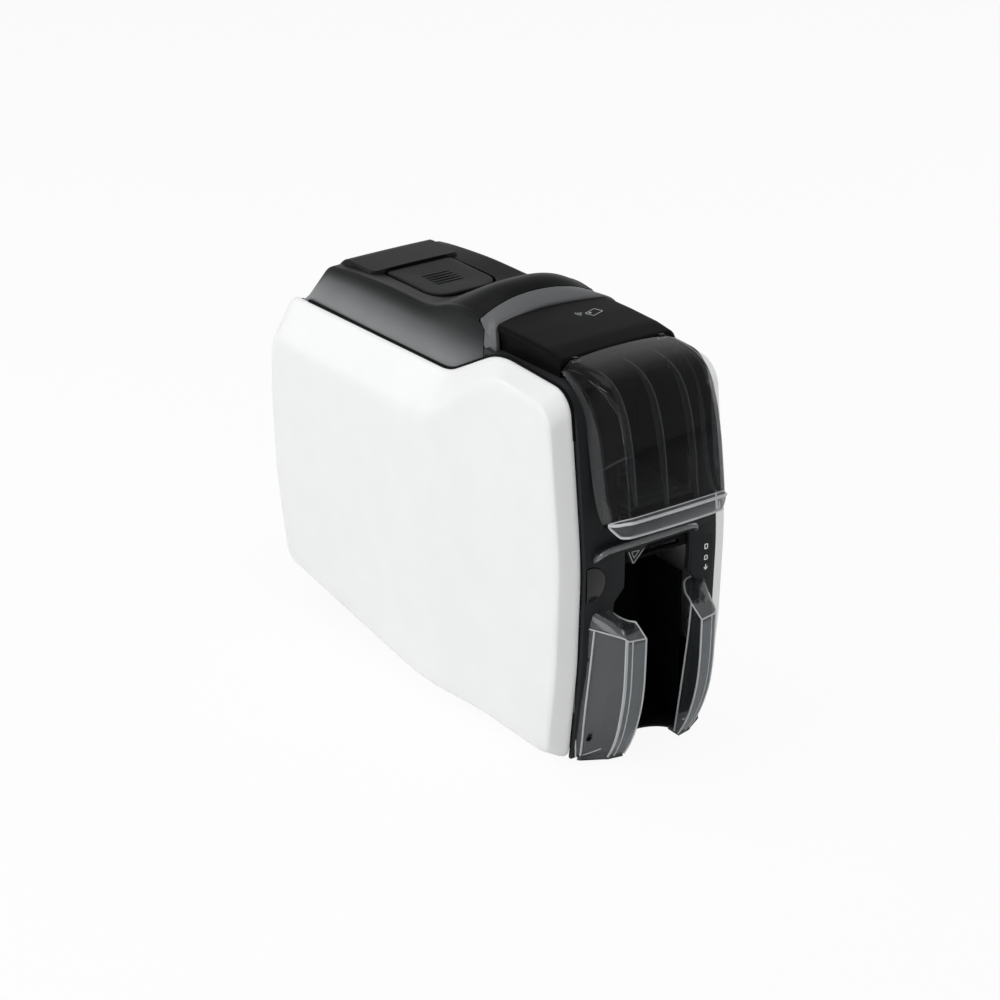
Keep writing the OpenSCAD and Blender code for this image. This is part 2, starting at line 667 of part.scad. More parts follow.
// A clear wing: a bent strip whose front leans out with height. Columns run from the fascia to the free edge.
module wing() {
    rows = 12;
    low = bin_floor_z + 0.3;
    wall = 3.2;
    low_front = front_y + 27;
    high_front = front_y + 5;
    outer = core_half - 2.6;
    columns = [[-outer, 0, 120], [1 - outer, 0.35, 117], [7 - outer, 0.72, 111], [16 - outer, 0.9, 107],
        [24 - outer, 0.98, 105], [30.5 - outer, 1, 104], [31.5 - outer, 0.72, 103]];
    n = len(columns);
    function place(c, k, inner) =
        let (z = low + (c[2] - low) * k / rows, front = low_front + (high_front - low_front) * wing_lean(z),
            back = fascia_y(z), reach = max(inner ? 1.5 : 0.1, (back - front) * c[1]),
            x = inner ? max(c[0], 3.5 - outer) - (c[0] > 24 - outer ? wall : 0) : c[0])
        [x, back - max(0.1, inner && c[1] > 0 ? reach - wall : inner ? 0.1 : reach), z];
    points = [for (k = [0:rows]) each [for (c = columns) place(c, k, false),
        for (i = [n - 1:-1:0]) place(columns[i], k, true)]];
    m = 2 * n;
    faces = [
        for (k = [0:rows - 1]) for (i = [0:m - 1])
            let (a = k * m + i, b = k * m + (i + 1) % m) each [[a, a + m, b], [b, a + m, b + m]],
        for (i = [0:n - 2]) each [[i, i + 1, m - 1 - i], [i + 1, m - 2 - i, m - 1 - i]],
        for (i = [0:n - 2]) let (t = rows * m)
            each [[t + i, t + m - 1 - i, t + i + 1], [t + i + 1, t + m - 1 - i, t + m - 2 - i]]];
    polyhedron(points, faces);
}

module left_wing() {
    color([0.75, 0.78, 0.8, 0.4]) wing();
}

module right_wing() {
    color([0.75, 0.78, 0.8, 0.4]) mirror([1, 0, 0]) wing();
}

// ---- rollers and gears ----------------------------------------------------------------------------------

sleeve_half = 22;
journal_left = plate_left - plate_t - gear_play;
gear_x = journal_left - gear_w;

// A rubber-faced roller on its shaft, driven by the gear at its left end.
module driven_roller(y, right_end) {
    color("black") rod_x(path_x - sleeve_half, path_x + sleeve_half, y, roller_z, roller_r);
    color("silver") rod_x(gear_x, right_end, y, roller_z, journal_r);
    color("ivory") gear(gear_x, y, roller_z, roller_teeth, false);
}

module idler(y, z, teeth, gap_first) {
    color("ivory") difference() {
        gear(gear_x, y, z, teeth, gap_first);
        rod_x(gear_x - 1, gear_x + gear_w + 1, y, z, axle_r + running_gap);
    }
}

module free_roller(y, z, r) {
    color("dimgray") rod_x(path_x - sleeve_half, path_x + sleeve_half, y, z, r);
    color("silver") rod_x(plate_left - plate_t, plate_right + plate_t, y, z, pinch_journal_r);
}

module kick_roller() {
    driven_roller(kick_y, plate_right + bin_wall);
}

module feed_roller() {
    driven_roller(feed_y, plate_right + plate_t);
}

module transport_roller() {
    driven_roller(transport_y, plate_right + plate_t);
}

module platen_roller() {
    driven_roller(platen_y, plate_right + plate_t);
}

module exit_roller() {
    driven_roller(exit_y, plate_right + plate_t);
}

module cleaning_roller() {
    free_roller(feed_y, cleaning_z, roller_r);
}

module front_pinch_roller() {
    free_roller(transport_y, pinch_z, pinch_r);
}

module rear_pinch_roller() {
    free_roller(exit_y, pinch_z, pinch_r);
}

module kick_idler() {
    idler(kick_y + half_pitch, roller_z, idler_teeth, true);
}

module feed_idler() {
    idler(feed_y + short_pitch / 2, roller_z, short_idler_teeth, true);
}

module transport_idler() {
    idler(transport_y + half_pitch, roller_z, idler_teeth, true);
}

module exit_idler() {
    idler(platen_y + half_pitch, roller_z, idler_teeth, true);
}

module motor_idler() {
    idler(platen_y, motor_idler_z, idler_teeth, true);
}

module idler_axles() {
    color("silver") {
        for (a = IDLERS) rod_x(gear_x - 1, plate_left, a[0], a[1], axle_r);
        rod_x(gear_x - 1, path_x - card_w / 2 - 1, kick_y + half_pitch, roller_z, axle_r);
    }
}

module motor_pinion() {
    color("ivory") gear(gear_x, platen_y, motor_z, pinion_teeth, false);
    color("silver") rod_x(gear_x, plate_left + 1.5, platen_y, motor_z, 2);
}

module main_motor() {
    motor_r = 18;
    color("gray") difference() {
        rod_x(plate_left, plate_left + 38, platen_y, motor_z, motor_r);
        rod_x(plate_left - 1, plate_left + 3, platen_y, motor_z, 2.4);
    }
}

module ribbon_motors() {
    color("gray") for (p = SPOOLS)
        rod_x(plate_right + plate_t + seat_gap, plate_right + plate_t + 18, p[0], p[1], 10);
}

// ---- ribbon and print head ------------------------------------------------------------------------------

film_t = 0.25;
film_z = card_z + 0.5;
takeup_r = 10;
supply_r = 17;

module spool(y, roll_r) {
    half = plate_gap / 2 - 0.6;
    color("gray") {
        rod_x(plate_left - plate_t, plate_right + plate_t, y, spool_z, journal_r);
        for (x = [path_x - half, path_x + half - 1.5]) rod_x(x, x + 1.5, y, spool_z, roll_r + 0.5);
    }
    color("black") rod_x(path_x - half + 1.5, path_x + half - 1.5, y, spool_z, roll_r);
}

module supply_spool() {
    spool(supply_y, supply_r);
}

module takeup_spool() {
    spool(takeup_y, takeup_r);
}

// The film leaves the supply roll, passes under two guide bars and the head, and rises to the take-up roll.
module ribbon_film() {
    path = [
        [supply_y - supply_r - 0.4, spool_z - 3], [platen_y + 18.6, film_z + 2.3], [platen_y + 14, film_z],
        [platen_y - 14, film_z], [platen_y - 18.6, film_z + 2.3], [takeup_y + takeup_r + 0.9, spool_z - 2]];
    color([0.3, 0.2, 0.4]) across(path_x - 26, path_x + 26)
        polygon([each path, for (i = [len(path) - 1:-1:0]) path[i] + [0, film_t]]);
}

head_bottom = film_z + film_t + 0.5;

module print_head() {
    color("khaki") block([path_x - 27, path_x + 27], [platen_y - 7, platen_y + 7], [head_bottom, head_bottom + 3]);
}

module head_carrier() {
    color("dimgray") {
        block([path_x - 27, path_x + 27], [platen_y - 7, platen_y + 1], [head_bottom + 3, 240]);
        block([path_x - 27, path_x + 27], [platen_y - 7, platen_y + 7], [240, LID_ROOF_Z]);
    }
}

module head_heat_sink() {
    fins = 7;
    color("silver") {
        block([path_x - 25, path_x + 25], [platen_y + 1, platen_y + 3], [head_bottom + 3, 236]);
        for (i = [0:fins - 1]) translate([path_x - 24 + i * 7.7, platen_y + 2.9, head_bottom + 3])
            cube([1.4, 4, 42]);
    }
}

module card_rails() {
    rail_out = plate_gap / 2 - seat_gap;
    color([0.15, 0.15, 0.16]) for (s = [-1, 1])
        translate([path_x, 0, 0]) scale(1) {
            a = s * rail_out;
            b = s * (card_w / 2 - 5);
            block([min(a, b), max(a, b)], [chassis_front + 4.7, exit_y + 28], [card_z - 3.6, card_z - 0.4]);
        }
}

// ---- lid ------------------------------------------------------------------------------------------------

LID_ROOF_Z = 275;
lid_seam_z = frame_top + 5;
lid_rear = lid_hinge_y + 8.5;
crest_half = core_half - 7.1;
roof_rear = arch_front + 110;
roof_middle = arch_front + 55;
dish_half = 38;
dish_front = latch_y - latch_l / 2 - 16;
dish_rear = latch_y + latch_l / 2 + 1;
dish_slope = 24;
dish_rise = 11;

module lid_side(inset) {
    low = lid_seam_z - (inset > 0 ? 9 : 0);
    polygon([each rounded([
        [lid_rear - inset, low, 1], [lid_rear - 0.8 - inset, 244.5, 4],
        [lid_rear - 14 - inset, 261 - inset, 10], [lid_rear - 29, 273.5 - inset, 24],
        [roof_rear, roof_front_z - 8 - inset, 100], [roof_middle, roof_front_z - 5 - inset, 40],
        [arch_front + inset, roof_front_z - inset, 1],
        [arch_front + inset, inset > 0 ? 200 : 268, 0.5], [arch_front + 30, inset > 0 ? 200 : 247, 0.5],
        [arch_front + 42, low, 0.5]])]);
}

module lid_section(inset) {
    polygon([each rounded([
        [core_half - 0.3 - inset, 200, 0.5], [core_half - 0.3 - inset, 246, 3],
        [crest_half - inset, 283 - inset / 2, 5], [0, 296 - inset, 20], [inset - crest_half, 283 - inset / 2, 5],
        [inset - core_half + 0.3, 246, 3], [inset - core_half + 0.3, 200, 0.5]])]);
}

module lid_solid(inset) {
    intersection() {
        across(-core_half, core_half) lid_side(inset);
        along(-70, rear_y) lid_section(inset);
    }
}

well_floor = latch_face_z - 12;

module rounded_block(w, l, r, z) {
    translate([0, latch_y, z[0]]) linear_extrude(z[1] - z[0]) polygon(rounded([
        [w / 2, l / 2, r], [-w / 2, l / 2, r], [-w / 2, -l / 2, r], [w / 2, -l / 2, r]]));
}

// Shallow dish round the latch button, sloped in front. Grown by a wall, it is what the lid's hollow keeps clear of.
module lid_dish(grow) {
    across(-dish_half - grow, dish_half + grow) polygon([[dish_front, LID_ROOF_Z - grow],
        [dish_rear + grow, LID_ROOF_Z - grow], [dish_rear + grow, 300], [dish_front - dish_slope - grow, 300],
        [dish_front - dish_slope - grow, LID_ROOF_Z + dish_rise - grow]]);
}

// Block behind the dish that stands above the lid's roof.
module rear_block() {
    across(-dish_half - 1, dish_half + 1) polygon(rounded([[dish_rear, 274, 0.1], [dish_rear, 278.8, 1],
        [lid_rear - 35, 278.4, 3], [lid_rear - 30, 272.5, 0.5]], 3));
}

module latch_well(grow) {
    rounded_block(latch_w + 2 * (button_gap + grow), latch_l + 2 * (button_gap + grow), 9,
        [well_floor - grow, 300]);
}

module top_lid() {
    color([0.2, 0.21, 0.22]) difference() {
        union() {
            difference() {
                lid_solid(0);
                difference() {
                    lid_solid(cover_wall);
                    lid_dish(cover_wall);
                    latch_well(cover_wall);
                }
                lid_dish(0);
            }
            rear_block();
            across(path_x - 28, path_x + 28) polygon([[platen_y - 9, LID_ROOF_Z], [platen_y + 8, LID_ROOF_Z],
                [platen_y + 8, LID_ROOF_Z + 5], [platen_y - 2, LID_ROOF_Z + 9.5], [platen_y - 9, LID_ROOF_Z + 9.5]]);
            both_sides() intersection() {
                lid_solid(0);
                block([ear_in + hinge_ear + 0.4, core_half - cover_wall - 0.2],
                    [lid_hinge_y - ear_r - 4, lid_hinge_y + 3], [lid_hinge_z - ear_r + 1, 262]);
            }
        }
        latch_well(0);
        rod_x(4 - core_half, core_half - 4, lid_hinge_y, lid_hinge_z, lid_pin_r + running_gap);
        translate([0, latch_y, 240]) cylinder(r = stem_r + 0.3, h = 40);
    }
}

stem_r = 3;

// Height of the arch's crown across the width, over its shoulders.
arch_half = core_half - 4.6;
arch_crown = arch_rise + 0.6;
arch_drop = 24;
arch_length = 72;
arch_top = roof_front_z + arch_rise;
function crown_z(x) = arch_top - arch_crown * pow(abs(x) / arch_half, 2.2);

// The hump from the lid's roof up to the arch, with a sloped band in front and a foot at each side.
module lid_arch() {
    steps = 24;
    sides = [[arch_half + 0.9, arch_top - arch_crown - arch_drop], [arch_half + 0.5, crown_z(arch_half) - 3],
        for (i = [0:steps]) let (x = arch_half * (1 - 2 * i / steps)) [x, crown_z(x)],
        [-arch_half - 0.5, crown_z(arch_half) - 3], [-arch_half - 0.9, arch_top - arch_crown - arch_drop]];
    color([0.4, 0.41, 0.42]) difference() {
        intersection() {
            along(arch_front, arch_front + arch_length) polygon(sides);
            across(-60, 60) polygon(rounded([[arch_front + arch_length, 260, 0.5],
                [arch_front + arch_length, roof_front_z - 7.4, 0.5],
                [arch_front + 30, arch_top + 1.5, 12], [arch_front + 26, arch_top + 1.5, 12],
                [arch_front + 17, arch_top - 5, 5], [arch_front + 2, roof_front_z + 2.2, 1],
                [arch_front, roof_front_z + 0.5, 0.5],
                [arch_front, 260, 0.5]]));
            across(-60, 60) polygon([[arch_front - 1, 200], [arch_front - 1, arch_top + 4],
                [arch_front + arch_length + 1, arch_top + 4], [arch_front + arch_length + 1, roof_front_z - 8],
                [arch_front + 40, roof_front_z - 8], [arch_front + 30, 262]]);
        }
        intersection() {
            across(-60, 60) polygon([[arch_front - 1, 200], [arch_front - 1, roof_front_z + 0.3],
                [roof_middle, roof_front_z - 4.8], [roof_rear, roof_front_z - 7.8], [roof_rear, 200]]);
            along(arch_front - 20, rear_y) polygon([[-core_half, 200], [-core_half, 246],
                [-crest_half - 0.3, 283.2], [0, 296.5], [crest_half + 0.3, 283.2], [core_half, 246],
                [core_half, 200]]);
        }
    }
}

module lid_hinge_pins() {
    color("silver") both_sides() rod_x(ear_in, core_half - 4.2, lid_hinge_y, lid_hinge_z, lid_pin_r);
}

module latch_button() {
    color([0.18, 0.19, 0.2]) {
        rounded_block(latch_w, latch_l, 8, [latch_face_z - 5, latch_face_z]);
        for (i = [0:3]) block([-9, 9], [latch_y - 6 + i * 5, latch_y - 4.5 + i * 5],
            [latch_face_z - 0.5, latch_face_z + 0.6]);
        translate([0, latch_y, lever_top + 0.3]) cylinder(r = stem_r, h = latch_face_z - 4 - lever_top);
    }
}

lever_pivot_y = latch_y - 14;
lever_pivot_z = 252;
lever_top = lever_pivot_z + 3;

// A round-wire helical spring round the button's stem.
module latch_spring() {
    turns = 3;
    per_turn = 12;
    sides = 6;
    wire = 0.6;
    coil_r = 5.5;
    low = well_floor + wire + seat_gap;
    high = latch_face_z - 5 - wire - seat_gap;
    n = turns * per_turn;
    points = [for (i = [0:n]) for (j = [0:sides - 1])
        let (a = 360 * i / per_turn, b = 360 * j / sides, r = coil_r + wire * cos(b))
        [r * cos(a), latch_y + r * sin(a), low + (high - low) * i / n + wire * sin(b)]];
    color("silver") polyhedron(points, [
        [for (j = [sides - 1:-1:0]) j], [for (j = [0:sides - 1]) n * sides + j],
        for (i = [0:n - 1]) for (j = [0:sides - 1])
            let (a = i * sides + j, b = i * sides + (j + 1) % sides)
            each [[a, b, a + sides], [b, b + sides, a + sides]]]);
}

module latch_lever() {
    color("gray") difference() {
        across(-4, 4) polygon([[lever_pivot_y - 3.5, lever_pivot_z + 3], [latch_y + 4, lever_top],
            [latch_y + 4, lever_top - 2.5], [lever_pivot_y + 3.5, lever_pivot_z - 3],
            [lever_pivot_y - 0.5, lever_pivot_z - 3.5], [lever_pivot_y - 0.5, 236], [lever_pivot_y - 3.5, 236]]);
        rod_x(-5, 5, lever_pivot_y, lever_pivot_z, 1.5 + running_gap);
    }
}

module latch_pivot() {
    color("silver") rod_x(-9, 9, lever_pivot_y, lever_pivot_z, 1.5);
    color("dimgray") both_sides() difference() {
        block([5, 9], [lever_pivot_y - 4, lever_pivot_y + 4], [lever_pivot_z - 4, well_floor - cover_wall - 0.2]);
        rod_x(0, 10, lever_pivot_y, lever_pivot_z, 1.5);
    }
}

// ---- electronics ----------------------------------------------------------------------------------------

board_x = plate_right + plate_t + 3;
board_t = 1.6;
// Ports: across the width, height, width and height of the mouth.
PORTS = [[board_x + board_t + seat_gap, 66, 12, 11], [board_x + board_t + seat_gap, 88, 14, 13]];
inlet_x = -42;
inlet_z = 70;
inlet_r = 5;

module main_board() {
    color("darkgreen") difference() {
        union() {
            block([board_x, board_x + board_t], [rear_y - 139, rear_y - 25], [40, 140]);
            for (y = [rear_y - 133, rear_y - 31]) for (z = [46, 134]) rod_x(plate_right + plate_t + seat_gap, board_x, y, z, 3);
        }
    }
    color("black") {
        block([board_x + board_t, board_x + board_t + 2], [rear_y - 109, rear_y - 87], [96, 118]);
        block([board_x + board_t, board_x + board_t + 2], [rear_y - 73, rear_y - 61], [70, 82]);
    }
}

module board_ports() {
    color("silver") for (p = PORTS) difference() {
        block([p[0], p[0] + p[2]], [rear_y - 34, rear_y - 12.5], [p[1], p[1] + p[3]]);
        block([p[0] + 1, p[0] + p[2] - 1], [rear_y - 28, rear_y], [p[1] + 1, p[1] + p[3] - 1]);
    }
}

module power_inlet() {
    color("black") difference() {
        union() {
            block([inlet_x - 6, inlet_x + 6], [rear_y - 43, rear_y - 27], [inlet_z - 8, inlet_z + 8]);
            rod_y(rear_y - 27.5, rear_y - 12, inlet_x, inlet_z, inlet_r);
        }
        rod_y(rear_y - 24, rear_y, inlet_x, inlet_z, 3);
    }
    color("silver") rod_y(rear_y - 25, rear_y - 15, inlet_x, inlet_z, 0.9);
}

fan_z = 150;
fan_half = 20;

module fan_bracket() {
    color("silver") difference() {
        block([plate_left + seat_gap, plate_right - seat_gap], [chassis_rear - 4, chassis_rear - 2],
            [fan_z - 26, fan_z + 26]);
        rod_y(chassis_rear - 5, chassis_rear, path_x, fan_z, fan_half - 2);
    }
}

module fan_frame() {
    color("black") {
        difference() {
            block([path_x - fan_half, path_x + fan_half], [chassis_rear - 1.8, chassis_rear + 8],
                [fan_z - fan_half, fan_z + fan_half]);
            rod_y(chassis_rear - 3, chassis_rear + 9, path_x, fan_z, fan_half - 1.5);
        }
        difference() {
            union() {
                rod_y(chassis_rear + 6, chassis_rear + 8, path_x, fan_z, 7);
                for (a = [45:90:315]) translate([path_x, 0, fan_z]) rotate([0, a, 0])
                    block([5, fan_half - 1], [chassis_rear + 6, chassis_rear + 8], [-1, 1]);
            }
            rod_y(chassis_rear + 5, chassis_rear + 9, path_x, fan_z, 1 + running_gap);
        }
    }
}

module fan_rotor() {
    blades = 7;
    hub_r = 7;
    color("dimgray") {
        rod_y(chassis_rear - 1, chassis_rear + 5.6, path_x, fan_z, hub_r);
        rod_y(chassis_rear + 5, chassis_rear + 7.5, path_x, fan_z, 1);
        for (i = [0:blades - 1]) translate([path_x, chassis_rear + 2.3, fan_z])
            rotate([0, i * 360 / blades, 0]) rotate([28, 0, 0])
                translate([hub_r - 1, -0.5, -4]) cube([fan_half - 3.5 - hub_r + 1, 1, 8]);
    }
}

base_tray();
feet();
chassis_left();
chassis_right();
cross_bars();
chassis_screws();
lid_seat_frame();
rear_panel();
left_side_panel();
right_side_panel();
front_fascia();
head_cover();
top_lid();
lid_arch();
lid_hinge_pins();
latch_button();
latch_spring();
latch_lever();
latch_pivot();
print_head();
head_carrier();
head_heat_sink();
hopper_door();
door_hinge_pins();
input_bin();
card_weight();
feed_visor();
feed_slot_plate();
power_button();
status_lights();
output_bin();
left_wing();
right_wing();
kick_roller();
feed_roller();
transport_roller();
platen_roller();
exit_roller();
cleaning_roller();
front_pinch_roller();
rear_pinch_roller();
kick_idler();
feed_idler();
transport_idler();
exit_idler();
motor_idler();
idler_axles();
motor_pinion();
main_motor();
ribbon_motors();
supply_spool();
takeup_spool();
ribbon_film();
card_rails();
main_board();
board_ports();
power_inlet();
fan_bracket();
fan_frame();
fan_rotor();
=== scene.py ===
"""Card printer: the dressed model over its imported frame.

Lengths are in millimetres in the frame's axes (X across, Y to the rear, Z up)
and become metres when a mesh is made.
"""
from __future__ import annotations

import logging
import math
from dataclasses import dataclass
from enum import Enum
from typing import Callable, Iterable, Sequence

import bmesh
import bpy
import numpy as np
from mathutils import Euler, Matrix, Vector

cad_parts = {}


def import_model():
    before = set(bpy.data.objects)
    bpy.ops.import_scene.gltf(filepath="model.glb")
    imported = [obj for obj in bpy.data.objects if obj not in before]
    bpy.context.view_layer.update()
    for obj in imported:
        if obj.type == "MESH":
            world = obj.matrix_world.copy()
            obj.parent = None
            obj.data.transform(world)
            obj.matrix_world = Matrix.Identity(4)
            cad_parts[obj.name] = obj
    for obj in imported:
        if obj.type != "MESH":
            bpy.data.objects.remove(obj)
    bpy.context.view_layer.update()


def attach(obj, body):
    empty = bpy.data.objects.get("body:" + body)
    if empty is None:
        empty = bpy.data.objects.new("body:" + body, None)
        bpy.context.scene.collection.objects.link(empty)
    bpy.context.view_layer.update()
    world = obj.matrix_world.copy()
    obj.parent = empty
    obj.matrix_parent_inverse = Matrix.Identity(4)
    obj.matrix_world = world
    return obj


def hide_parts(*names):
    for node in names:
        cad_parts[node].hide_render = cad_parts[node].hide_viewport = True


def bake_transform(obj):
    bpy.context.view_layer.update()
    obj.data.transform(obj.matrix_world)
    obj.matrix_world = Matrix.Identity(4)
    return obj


log = logging.getLogger("card_printer")
Number = float | int
Colour = tuple[float, float, float]
Point = tuple[float, float]
Corner = tuple[float, float, float]
MM = 1000.0
UP, AHEAD, BEHIND = (0.0, 0.0, 1.0), (0.0, -1.0, 0.0), (0.0, 1.0, 0.0)
# Doubles and slivers that are merged, in metres.
MERGE, COPY_MERGE, SLIVER = 2e-6, 4e-6, 1e-6
# Edges that turn by more than this many degrees stay sharp.
CREASED, FOLDED, ROUNDED = 32.0, 40.0, 60.0


# ---- shader terms ------------------------------------------------------------------------------------


class Term:
    """A shader socket that takes part in Python arithmetic."""

    def __init__(self, tree: "ShaderTree", socket: bpy.types.NodeSocket) -> None:
        """Wraps one output socket of a tree."""
        self.tree = tree
        self.socket = socket

    def _math(self, operation: str, first: "Term | Number", second: "Term | Number") -> "Term":
        """Adds a Math node on two values."""
        return self.tree.add("ShaderNodeMath", {"operation": operation}, {0: first, 1: second})

    def __add__(self, other: "Term | Number") -> "Term":
        """Sum."""
        return self._math("ADD", self, other)

    __radd__ = __add__

    def __sub__(self, other: "Term | Number") -> "Term":
        """Difference."""
        return self._math("SUBTRACT", self, other)

    def __mul__(self, other: "Term | Number") -> "Term":
        """Product."""
        return self._math("MULTIPLY", self, other)

    __rmul__ = __mul__

    def __truediv__(self, other: "Term | Number") -> "Term":
        """Quotient."""
        return self._math("DIVIDE", self, other)

    def __abs__(self) -> "Term":
        """Absolute value."""
        return self._math("ABSOLUTE", self, 0.0)

    def most(self, other: "Term | Number") -> "Term":
        """The larger of two values."""
        return self._math("MAXIMUM", self, other)

    def between(self, low: Number, high: Number, start: Number = 0.0, end: Number = 1.0) -> "Term":
        """Maps low..high onto start..end with soft ends.

        Args:
            low: The value that gives start.
            high: The value that gives end.
            start: Result at and below low.
            end: Result at and above high.

        Returns:
            The mapped value.
        """
        return self.tree.add(
            "ShaderNodeMapRange",
            {"interpolation_type": "SMOOTHSTEP"},
            {"Value": self, "From Min": low, "From Max": high, "To Min": start, "To Max": end},
        )


class ShaderTree:
    """The node tree of a material or of the world, built from terms."""

    def __init__(self, name: str, world: bool = False) -> None:
        """Makes an empty material or world with its output."""
        self.owner = (bpy.data.worlds if world else bpy.data.materials).new(name)
        self.owner.use_nodes = True
        self.tree = self.owner.node_tree
        self.tree.nodes.clear()
        self.output = self.tree.nodes.new("ShaderNodeOutputWorld" if world else "ShaderNodeOutputMaterial")

    def add(self, kind: str, settings: dict | None = None, inputs: dict | None = None, out: int | str = 0) -> Term:
        """Adds any node.

        Args:
            kind: The node's type name.
            settings: Properties set first. A ramp's stops go under "stops".
            inputs: Values or terms by socket index or name.
            out: The output socket to hand back.

        Returns:
            The chosen output as a term.
        """
        node = self.tree.nodes.new(kind)
        for key, value in (settings or {}).items():
            if key == "stops":
                ramp = node.color_ramp
                while len(ramp.elements) > 1:
                    ramp.elements.remove(ramp.elements[-1])
                ramp.elements[0].position, ramp.elements[0].color = value[0]
                for place, colour in value[1:]:
                    ramp.elements.new(place).color = colour
            else:
                setattr(node, key, value)
        for key, value in (inputs or {}).items():
            if isinstance(value, Term):
                self.tree.links.new(value.socket, node.inputs[key])
            else:
                if isinstance(value, tuple) and len(value) == 3 and node.inputs[key].type == "RGBA":
                    value = (*value, 1.0)
                node.inputs[key].default_value = value
        return Term(self, node.outputs[out])

    def place(self) -> Term:
        """Object coordinates in millimetres."""
        where = self.add("ShaderNodeTexCoord", out="Object")
        return self.add("ShaderNodeVectorMath", {"operation": "SCALE"}, {0: where, "Scale": MM})

    def axes(self, where: Term) -> tuple[Term, Term, Term]:
        """Splits a vector into its three numbers."""
        node = self.tree.nodes.new("ShaderNodeSeparateXYZ")
        self.tree.links.new(where.socket, node.inputs[0])
        return tuple(Term(self, s) for s in node.outputs)

    def stretched(self, where: Term, scale: Corner) -> Term:
        """Scales a place unevenly, for grain that runs one way."""
        return self.add("ShaderNodeVectorMath", {"operation": "MULTIPLY"}, {0: where, 1: scale})

    def noise(self, where: Term, size: float, detail: float = 2.0, rough: float = 0.5) -> Term:
        """Noise from 0 to 1 whose lumps are about size millimetres."""
        return self.add(
            "ShaderNodeTexNoise",
            {"noise_dimensions": "3D"},
            {"Vector": where, "Scale": 1.0 / size, "Detail": detail, "Roughness": rough},
        )

    def mixed(self, mask: Term, low: Term | Colour, high: Term | Colour) -> Term:
        """Blends two colours by a mask."""
        return self.add("ShaderNodeMix", {"data_type": "RGBA"}, {0: mask, 6: low, 7: high}, out=2)

    def bump(self, height: Term, depth: float) -> Term:
        """A normal from a height of 0 to 1 that stands depth millimetres."""
        return self.add("ShaderNodeBump", {}, {"Height": height, "Distance": depth / MM, "Strength": 1.0}, out="Normal")

    def surface(self, **inputs: object) -> Term:
        """The Principled shader, with sockets named by words joined with underscores."""
        named = {key.replace("_", " ").title().replace("Ior", "IOR"): value for key, value in inputs.items()}
        return self.add("ShaderNodeBsdfPrincipled", {}, named, out="BSDF")

    def blended(self, share: Term, first: Term, second: Term) -> Term:
        """Blends two shaders by a share of the second."""
        return self.add("ShaderNodeMixShader", {}, {0: share, 1: first, 2: second})

    def finish(self, shader: Term) -> bpy.types.Material | bpy.types.World:
        """Links the shader to the output and hands back the material or world."""
        self.tree.links.new(shader.socket, self.output.inputs["Surface"])
        return self.owner


# ---- finishes ----------------------------------------------------------------------------------------


def toned(colour: Colour, share: float, lift: float = 0.0) -> Colour:
    """A colour made darker or paler."""
    return tuple(min(1.0, c * share + lift) for c in colour)


@dataclass(frozen=True)
class Stuff:
    """What a piece is made of: a name and a shader."""

    name: str

    def shader(self, tree: ShaderTree, where: Term) -> Term:
        """Builds the shader from the place in millimetres."""
        raise NotImplementedError

    def material(self) -> bpy.types.Material:
        """The material, made once."""
        ready = bpy.data.materials.get(self.name)
        if ready is None:
            tree = ShaderTree(self.name)
            ready = tree.finish(self.shader(tree, tree.place()))
        return ready


@dataclass(frozen=True)
class Moulding(Stuff):
    """Opaque injection-moulded plastic with a spark-eroded grain."""

    colour: Colour
    roughness: float = 0.45
    grain: float = 0.35
    depth: float = 0.012
    mottle: float = 0.04
    specular: float = 0.5
    coat: float = 0.0

    def shader(self, tree: ShaderTree, where: Term) -> Term:
        """Builds the shader."""
        fine = tree.noise(where, self.grain, 3.0, 0.6)
        broad = tree.noise(where, 28.0)
        return tree.surface(
            base_color=tree.mixed(broad.between(0.3, 0.7), toned(self.colour, 1.0 - self.mottle), self.colour),
            roughness=(fine - 0.5) * 0.10 + (broad - 0.5) * 0.06 + self.roughness,
            specular_ior_level=self.specular,
            coat_weight=self.coat,
            coat_roughness=0.15,
            normal=tree.bump(fine, self.depth),
        )


@dataclass(frozen=True)
class LidMoulding(Stuff):
    """The lid's black moulding, its flared sides painted a paler grey that grows towards their foot: painted sheen for
    the lamps' reflection on the slope.
    """

    top: Colour
    side: Colour
    roughness: float = 0.40

    def shader(self, tree: ShaderTree, where: Term) -> Term:
        """Builds the shader."""
        across, _, up = tree.axes(where)
        fine = tree.noise(where, 0.30, 3.0, 0.6)
        broad = tree.noise(where, 26.0)
        # Painted sheen: the flared sides turn grey, more so lower down, in place of the lamps' reflection on the slope.
        flank = abs(across).between(48.5, 51.5) * up.between(280.0, 246.0, 0.12, 1.0)
        polish = broad.between(0.3, 0.7)
        black = tree.mixed(polish, toned(self.top, 0.9), self.top)
        grey = tree.mixed(polish, toned(self.side, 0.94), self.side)
        return tree.surface(
            base_color=tree.mixed(flank, black, grey),
            roughness=(fine - 0.5) * 0.10 + (broad - 0.5) * 0.06 + flank * 0.05 + self.roughness,
            specular_ior_level=0.06,
            normal=tree.bump(fine, 0.015),
        )


